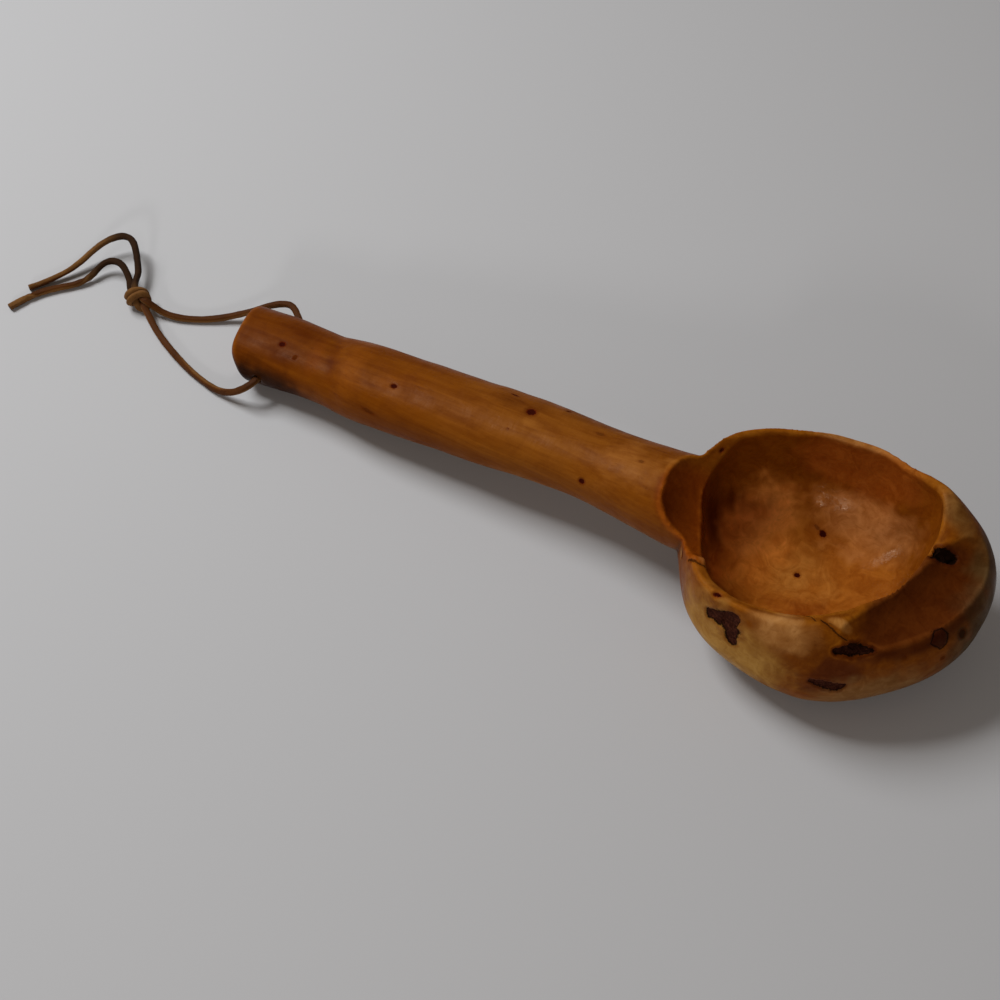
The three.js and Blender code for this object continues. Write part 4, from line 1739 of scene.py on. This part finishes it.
@dataclass
class BurlLadle:
    """The ladle's wood: bowl and handle in one piece, carved, pitted and coloured."""

    bowl: Bowl = field(default_factory=Bowl)
    handle: Handle = field(default_factory=Handle)
    gouges: tuple[Gouge, ...] = (
        Gouge((-25, -6, 39.4), (48.5, 48.5, 48.5)),
        Gouge((-35, -14, 38.4), (27.5, 27.5, 27.5)),
        Gouge((53.2, -4, 46.7), (22, 90, 22), heading=-21, tilt=28),
    )
    bore_place: tuple[float, float] = (-285.0, 13.5)
    bore_radius: float = 2.15
    butt_slant: tuple[float, float] = (-1.8, 2.6)
    voxel: float = 0.92
    finish: OiledBurl = field(default_factory=OiledBurl)
    knots: tuple[Knot, ...] = (
        Knot(Oval((-277.4, -5.0, 30.4), 1.7, 1.15), 1.0, 0.3),
        Knot(Oval((-267.6, -8.8, 30.0), 1.3, 1.3, (0.4, 1, 0)), 0.5),
        Knot(Oval((-213.9, -6.3, 38.2), 1.35, 1.3), 1.0, 0.25),
        Knot(Oval((-221.1, -17.9, 28.0), 1.0, 4.5, (1, 0, -0.1)), 0.5),
        Knot(Oval((-161.4, 13.1, 43.1), 0.55, 4.5, (1, -0.1, 0.1)), 0.95),
        Knot(Oval((-148.9, 6.2, 45.5), 2.2, 1.15), 1.0, 0.35),
        Knot(Oval((-153.6, -6.3, 43.6), 0.65), 0.95),
        Knot(Oval((-135.1, 15.5, 44.5), 0.8, 1.8), 0.8),
        Knot(Oval((-114.9, 7.7, 49.2), 1.1, 2.6), 0.45),
        Knot(Oval((-112.0, -13.6, 40.8), 1.45, 1.1), 1.0, 0.35),
        Knot(Oval((-90.3, -0.8, 53.9), 0.9, 1.8), 0.5),
        Knot(Oval((-15.2, 33.0, 16.0), 1.5, 1.3, (-1, 0.5, 0.2)), 1.0, 0.2),
        Knot(Oval((-18.6, 34.2, 17.0), 0.9, 2.2, (-1, 0.3, 0.3)), 0.5),
        Knot(Oval((-16.3, 10.2, 11.5), 1.5), 1.0, 0.2),
        Knot(Oval((-31.2, -45.9, 52.0), 1.3, 2.0, (1, 0.1, 0.6)), 1.0, 1.4),
        Knot(Oval((-57.0, -25.0, 37.6), 1.6, 1.4, (0, 0.4, 1)), 1.0, 0.8),
        Knot(Oval((-63.6, 23.2, 53.5), 0.9, 1.7, (0.4, 1, 0.4)), 0.9, 0.5),
        Knot(Oval((60.4, -2.7, 38.5), 2.3, 1.2), 0.55, 0.2),
        Knot(Oval((57.5, -13.9, 33.0), 1.3), 0.55),
        Knot(Oval((45.0, -26.8, 40.0), 1.4), 0.35),
    )
    bark: tuple[BarkPocket, ...] = (
        BarkPocket(
            ((21.4, -43.4, 47), (25, -40.7, 47.3), (29.3, -37.2, 47), (33, -34.4, 45.6)),
            (1.6, 2.6, 3.0, 1.4), 2.2, 0.4,
        ),
        BarkPocket(
            ((35.6, 18.9, 53.3), (38.4, 19.9, 52.2), (41, 21.2, 50.9), (43.6, 22, 49.3)),
            (2.6, 2.8, 2.9, 2.6), 2.6, 0.9,
        ),
        BarkPocket(((-31.8, -47.8, 39.6), (-26.5, -49, 43), (-21.4, -49.8, 46.4)), (3.0, 4.6, 3.6), 0.9, 0.0),
        BarkPocket(((-24.5, -49.8, 42), (-21.4, -50.7, 39.6), (-20.2, -51.2, 35)), (4.2, 4.8, 3.0), 0.8, 0.0),
        BarkPocket(
            ((16, -51.2, 32), (20.5, -49.6, 30.8), (25.5, -47.4, 29.2), (28.4, -45.6, 30.6)),
            (1.4, 2.4, 2.2, 1.0), 0.9, 0.1,
        ),
    )
    seams: tuple[Seam, ...] = (
        Seam(
            ((-50.6, -32.6, 47.2), (-49.3, -32.6, 48.2), (-45.7, -34.2, 50.1), (-42.6, -33.4, 50.4)),
            0.6, 0.5,
        ),
        Seam(((4.2, -38.4, 53.6), (7.2, -37.7, 53.8), (8.8, -38.8, 54.3)), 0.35, 0.2),
        Seam(((12.1, -37.7, 54.3), (16.1, -38.3, 53.5), (19.4, -38.9, 52.1), (22.4, -38.1, 50.2)), 0.45, 0.5),
        Seam((
            (51.6, -16.3, 41.8), (51, -11.9, 45.1), (53.2, -8.8, 44.5), (55.8, -8.3, 42),
            (56.8, -10.8, 38.8), (55.6, -13.9, 38), (51.6, -16.3, 41.8),
        ), 0.5, 0.1),
    )
    dents: tuple[Dent, ...] = (
        Dent((
            (-257, 14, 29), (-254.2, 8, 32.4), (-249.7, -5, 33.3), (-247.5, -12.1, 30.8),
            (-241.5, -17.6, 24.9),
        ), 4.2, 0.6),
        Dent(((-243, 12, 32), (-239, 0, 35), (-236, -11, 33)), 6.0, -0.35),
        Dent(((21, -47, 42), (26, -45, 37), (32, -40, 38)), 8.0, 0.9),
    )
    softening: int = 7
    unevenness: float = 0.42
    fine_unevenness: float = 0.16
    stroke_height: float = 0.10
    stroke_width: float = 1.15
    wood: Rgb = (124, 64, 8)
    # Paler, greyer colour for downward-facing wood: partly sapwood, partly painted bounce light from the
    # floor.
    sapwood_and_bounce: Rgb = (138, 108, 68)
    sapwood_and_bounce_share: float = 0.55
    # How much convex edges are lightened: a painted highlight along them, with rubbed wear.
    edge_highlight_and_wear: Point = (0.8, 1.2, 1.9)
    # How much concave creases are darkened, as painted shade.
    crease_shade: float = 0.5
    tints: tuple[Tint, ...] = (
        Tint(Oval((-300, 0, 16), 46, 1.3), (106, 50, 5), 0.9, 0.1, 0.2),
        # Painted shade: the low front of the butt, next to the floor, made very dark.
        Tint(Oval((-287, -19.5, 12), 15, 3.0), (36, 12, 2), 0.92, 0.3, 0.3),
        Tint(Oval((-272, -10, 29), 8, 1.5), (80, 28, 2), 0.6, 0.5, 0.1),
        Tint(Oval((-270.8, 5.9, 31.2), 7.5, 1.6), (84, 30, 2), 0.6, 0.5, 0.1),
        Tint(Oval((-258, -6, 31.7), 6, 2.2, (0.2, -1, 0.1)), (128, 62, 8), 0.5, 0.5, 0.1),
        Tint(Oval((-250, -4, 33), 4.6, 3.6, (0.3, -1, 0)), (88, 32, 2), 0.7, 0.4, 0.0),
        Tint(Oval((-236, -6, 34), 8.5, 2.4, (0.3, -1, 0)), (148, 80, 14), 0.55, 0.5, 0.1),
        Tint(Oval((-212, -3, 38), 7, 2.2, (1, 0.4, 0)), (136, 70, 12), 0.4, 0.6, 0.1),
        Tint(Oval((-198, -17, 24), 12, 5.0), (96, 42, 6), 0.5, 0.3, 0.1),
        Tint(Oval((-136, 0, 46), 58, 1.3), (142, 82, 22), 0.7, 0.15, 0.1),
        Tint(Oval((-145.5, 1.0, 45.8), 3.6, 1.6), (172, 108, 40), 0.55, 0.4, 0.1),
        Tint(Oval((-156, 9, 44), 7, 2.6), (92, 40, 5), 0.5, 0.5, 0.1),
        Tint(Oval((-92, -3, 52.5), 14, 2.0), (168, 104, 42), 0.6, 0.6, 0.1),
        Tint(Oval((-112, 19, 44), 11, 3.4), (96, 46, 8), 0.55, 0.4, 0.1),
        Tint(Oval((-64, -24, 36), 3.2, 4.6, (1, -0.1, 0.1)), (184, 142, 88), 0.65, 0.3),
        Tint(Oval((-15, 8, 10), 48, 1.0), (176, 100, 30), 0.92, 0.12, 0.6),
        Tint(Oval((-20, 10, 11), 19, 1.4), (200, 136, 62), 0.35, 0.6, 0.1),
        # Painted shade: the front of the hollow's floor made darker.
        Tint(Oval((-8, -8, 14), 10, 2.6, (1, 0.12, 0)), (128, 52, 10), 0.6, 0.7, 0.1),
        # Painted highlight: a pale patch on the far floor of the hollow, where the lamps glint.
        Tint(Oval((0, 41, 23), 17, 1.9, (1, -0.1, 0)), (210, 138, 78), 0.6, 0.4, 0.2),
        # Painted light: the left of the hollow's floor made lighter, where the left wall shades it.
        Tint(Oval((-40, 8, 16), 20, 1.6, (0.2, 1, 0)), (226, 132, 48), 0.85, 0.35, 0.3),
        # Painted shade: the right of the hollow's floor made darker.
        Tint(Oval((14, 8, 17), 15, 1.8, (0.3, 1, 0)), (158, 88, 28), 0.5, 0.4, 0.2),
        Tint(Oval((2, -30, 30), 14, 2.6, (1, 0.25, 0)), (132, 64, 14), 0.6, 0.35, 0.2),
        Tint(Oval((-15, 60, 46), 20, 2.4, (1, -0.05, 0)), (156, 80, 24), 0.85, 0.12, 0.7),
        Tint(Oval((-50, -8, 66), 29.6), (122, 54, 6), 0.92, 0.02, 0.97),
        # Painted shade: the hollow's left wall, at the handle's root, made dark.
        Tint(Oval((-57, 7, 29), 10, 2.4, (0.6, -0.96, -1)), (86, 36, 9), 0.88, 0.2, 0.2),
        Tint(Oval((-48, -27, 50.5), 3.2, 5.0, (0.75, -0.65, 0.1)), (176, 108, 48), 0.7, 0.2),
        Tint(Oval((-26, -56, 28), 25, 1.7, (1, -0.3, 0)), (182, 134, 62), 0.8, 0.2),
        # Painted highlight: a pale patch on the front rim's shoulder, where it shines.
        Tint(Oval((2, -50, 51), 11, 1.7), (198, 140, 78), 0.65, 0.35, 0.2),
        Tint(Oval((19, -34.5, 53), 2.6, 2.6, (1, 0.1, -0.4)), (180, 118, 54), 0.6, 0.3),
        Tint(Oval((43, -2, 48), 17, 2.2, (0.35, 1, 0)), (84, 36, 7), 0.92, 0.08, 0.87),
        Tint(Oval((24, -46, 36), 10.8, 1.5, (0.67, 0.65, 0.37)), (92, 40, 11), 0.85, 0.5, 0.6),
        Tint(Oval((53.8, -12, 42), 4.4, 1.1), (62, 22, 6), 0.95, 0.12, 0.85),
        Tint(Oval((66, 14, 28), 23, 2.0, (0, 1, 0.2)), (82, 64, 38), 0.92, 0.3, 0.3),
        Tint(Oval((56, 32, 46), 11, 2.0, (0.3, -1, 0)), (92, 66, 34), 0.7, 0.3, 0.3),
        Tint(Oval((60.4, -2.7, 38.5), 3.0, 1.2), (40, 44, 18), 0.9, 0.1, 0.6),
        Tint(Oval((-15, 53, 62), 8.2, 4.5, (1, 0.08, 0)), (138, 96, 48), 0.6, 0.3, 0.3),
        Tint(Oval((38, 42, 58), 9, 2.0, (0.7, -0.7, 0)), (118, 84, 42), 0.65, 0.3, 0.3),
        # Painted light: the far left of the hollow's floor made lighter, where the key lamp's shadow falls.
        Tint(Oval((-42, 23, 20), 17, 1.5, (0.3, 1, 0.3)), (252, 160, 76), 0.9, 0.35, 0.1),
        Tint(Oval((44, -37, 22), 17, 2.0, (0.7, 0.7, 0)), (142, 102, 58), 0.75, 0.4),
    )

    def carved(self) -> bpy.types.Object:
        """Join the burl and the handle, and take the cuts away.

        Returns:
            The carved solid, remeshed evenly.
        """
        whole = self.bowl.outside()
        worked(whole, self.handle.build(), Cut.JOIN)
        worked(whole, self.bowl.hollow(), Cut.TAKE_AWAY)
        for gouge in self.gouges:
            worked(whole, gouge.build(self.bowl.centre), Cut.TAKE_AWAY)
        worked(whole, self.bore(), Cut.TAKE_AWAY)
        remesh = whole.modifiers.new("even_faces", "REMESH")
        remesh.mode, remesh.voxel_size = "VOXEL", self.voxel * MM
        baked_mesh(whole)
        whole.name = whole.data.name = "ladle_wood"
        return whole

    def bore(self) -> bpy.types.Object:
        """Make what is drilled out of the handle.

        Returns:
            The round hole as a solid.
        """
        angle = full_turn(32)
        ring = np.stack([
            self.bore_place[0] + self.bore_radius * np.cos(angle), 0 * angle,
            self.bore_place[1] + self.bore_radius * np.sin(angle),
        ], axis=1)
        return lofted("bore", np.array([ring + (0, y, 0) for y in (40.0, -40.0)]))

    def strokes(self, surface: Surface, broad: Unevenness, fine: Unevenness) -> np.ndarray:
        """Find the marks that a curved knife left inside the cup.

        Args:
            surface: The carved surface.
            broad: What bends the strokes.
            fine: What makes them come and go.

        Returns:
            The strokes' height at each point.
        """
        places, normals = surface.places, surface.normals
        x, y = places[:, 0] - self.bowl.centre[0], places[:, 1] - self.bowl.centre[1]
        out = np.hypot(x, y)
        inside = smoothstep(0.0, 0.5, normals[:, 2] * 0.6 - (x * normals[:, 0] + y * normals[:, 1]) / 40)
        inside *= smoothstep(-72, -60, places[:, 0]) * (out < 58)
        waves = np.sin(out / self.stroke_width + 3.2 * broad.at(places, 14.0))
        return self.stroke_height * inside * (waves * (0.5 + 0.5 * fine.at(places, 20.0)))

    def worn(self, points: MeshPoints) -> Surface:
        """Give the surface its slow unevenness, tool marks, dents and pockets.

        Args:
            points: The carved mesh's points.

        Returns:
            The surface as it was before, on which the marks are placed.
        """
        points.soften(self.softening)
        surface = Surface(points)
        places, normals = surface.places, surface.normals
        broad, fine = Unevenness(5), Unevenness(8)
        move = self.unevenness * broad.at(places, 24.0) + self.fine_unevenness * broad.at(places + 50, 9.0)
        move += self.strokes(surface, broad, fine)
        for knot in self.knots:
            if knot.dent:
                move -= knot.dent * smoothstep(1.3, 0.3, surface.from_mark(knot.oval))
        for pocket in self.bark:
            form = surface.from_pocket(pocket, fine)
            move -= pocket.depth * smoothstep(-0.12, 0.3, form) * (1 - 0.3 * fine.at(places, 2.0))
        for groove in (*self.seams, *self.dents):
            distance, _ = surface.from_line(groove.line)
            move -= groove.depth * np.exp(-((distance / max(0.9, groove.half)) ** 2))
        foot = smoothstep(0.2, 2.0, places[:, 2])
        bore = np.hypot(places[:, 0] - self.bore_place[0], places[:, 2] - self.bore_place[1])
        move *= foot * smoothstep(self.bore_radius + 0.2, self.bore_radius + 2.5, bore)
        points.places = places + normals * move[:, None]
        back, front = self.butt_slant
        lean = back + (front - back) * smoothstep(16, -14, places[:, 1])
        points.places[:, 0] += lean * smoothstep(-289, -305, places[:, 0])
        points.places[:, 2] = np.maximum(points.places[:, 2], 0.0)
        points.write()
        return surface

    def toned(self, surface: Surface, mottle: np.ndarray) -> np.ndarray:
        """Colour the wood with its patches, some of them painted light and painted shade, and turn
        downward-facing wood paler and greyer, partly as sapwood and partly as painted bounce light from the
        floor.

        Args:
            surface: The surface before it was dented.
            mottle: What makes the patches' edges ragged.

        Returns:
            Each point's red, green and blue.
        """
        tone = np.tile(np.array(linear(self.wood))[:3], (len(surface.places), 1))
        # Downward-facing wood turns paler and greyer: partly sapwood, partly painted bounce light from the
        # floor.
        sapwood_and_bounce_below = self.sapwood_and_bounce_share * smoothstep(-0.15, -0.85, surface.normals[:, 2] + 0.2 * mottle)
        tone += sapwood_and_bounce_below[:, None] * (np.array(linear(self.sapwood_and_bounce))[:3] - tone)
        for tint in self.tints:
            distance = surface.from_oval(tint.oval) + tint.ragged * mottle
            share = (tint.strength * smoothstep(1.1, tint.core, distance))[:, None]
            tone += share * (np.array(linear(tint.colour))[:3] - tone)
        return tone

    def keep_bark(self, points: MeshPoints, surface: Surface) -> np.ndarray:
        """Store the bark pockets' forms and blackness.

        Args:
            points: The finished mesh's points.
            surface: The surface before it was dented.

        Returns:
            The form at each point.
        """
        bark, black = np.full(points.count, -1.0), np.zeros(points.count)
        fine = Unevenness(8)
        for pocket in self.bark:
            form = surface.from_pocket(pocket, fine)
            black = np.where(form > bark, pocket.blackness, black)
            bark = np.maximum(bark, form)
        points.keep("bark", bark)
        points.keep("bark_black", black)
        return bark

    def keep_knots(self, points: MeshPoints, surface: Surface) -> None:
        """Store the knots' forms and darkness.

        Args:
            points: The finished mesh's points.
            surface: The surface before it was dented.
        """
        knot_form, knot_depth = np.full(points.count, -1.0), np.zeros(points.count)
        for knot in self.knots:
            form = np.clip(1 - surface.from_mark(knot.oval), -1, 1)
            nearer = form > knot_form
            knot_form = np.where(nearer, form, knot_form)
            knot_depth = np.where(nearer, knot.darkness, knot_depth)
        points.keep("knot", knot_form)
        points.keep("knot_depth", knot_depth)

    def keep_seams(self, points: MeshPoints, surface: Surface) -> None:
        """Store how near the seams are, and which side of them each point is on.

        Args:
            points: The finished mesh's points.
            surface: The surface before it was dented.
        """
        side, near = np.full(points.count, 4.0), np.zeros(points.count)
        for seam in self.seams:
            distance, signed = surface.from_line(seam.line)
            close = np.clip(1 - distance / (4 * seam.half), 0, 1)
            nearer = close > near
            side = np.where(nearer, np.clip(signed / seam.half, -4, 4), side)
            near = np.where(nearer, close, near)
        points.keep("seam_side", side)
        points.keep("seam_near", near)

    def coloured(self, points: MeshPoints, surface: Surface) -> None:
        """Store the colours, with painted highlights on convex edges and painted shade in creases, and the
        knots, bark, seams and polish for the material.

        Args:
            points: The finished mesh's points.
            surface: The surface before it was dented.
        """
        places = surface.places
        rough = Unevenness(12)
        mottle = 0.6 * rough.at(places, 7.0) + 0.4 * rough.at(places + 20, 3.0)
        tone = self.toned(surface, mottle)
        bark = self.keep_bark(points, surface)
        bend = points.bend()
        # Convex edges are lightened: a painted highlight along them, with rubbed wear.
        worn = smoothstep(0.01, 0.05, bend) * (0.7 + 0.5 * mottle) * smoothstep(-0.3, -0.95, bark)
        tone *= 1 + worn[:, None] * self.edge_highlight_and_wear
        # Concave creases are darkened: painted shade.
        tone *= (1 - self.crease_shade * smoothstep(-0.01, -0.05, bend))[:, None]
        points.keep("tone", np.concatenate([tone, np.ones((points.count, 1))], axis=1))
        self.keep_knots(points, surface)
        self.keep_seams(points, surface)
        points.keep("long_grain", smoothstep(-52, -84, places[:, 0]))
        cup = np.hypot(places[:, 0] - self.bowl.centre[0], places[:, 1] - self.bowl.centre[1])
        points.keep("polish", np.clip(0.2 + 0.8 * smoothstep(54, 40, cup) + 0.35 * mottle, 0, 1))

    def build(self) -> bpy.types.Object:
        """Make the wood.

        Returns:
            The ladle's wood as one piece.
        """
        made = self.carved()
        points = MeshPoints(made.data)
        self.coloured(points, self.worn(points))
        made.data.shade_smooth()
        made.data.materials.clear()
        made.data.materials.append(self.finish.build())
        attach(made, "ladle")
        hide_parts("ladle_body")
        return made


def main() -> None:
    """Build the scene's parts in order."""
    logging.basicConfig(level=logging.INFO, format="%(name)s: %(message)s")
    PhotoCamera().build()
    Studio().build()
    for piece in (*Lace().build(), BurlLadle().build()):
        log.info("%s: %d faces", piece.name, len(piece.data.polygons))


if __name__ == "__main__":
    main()
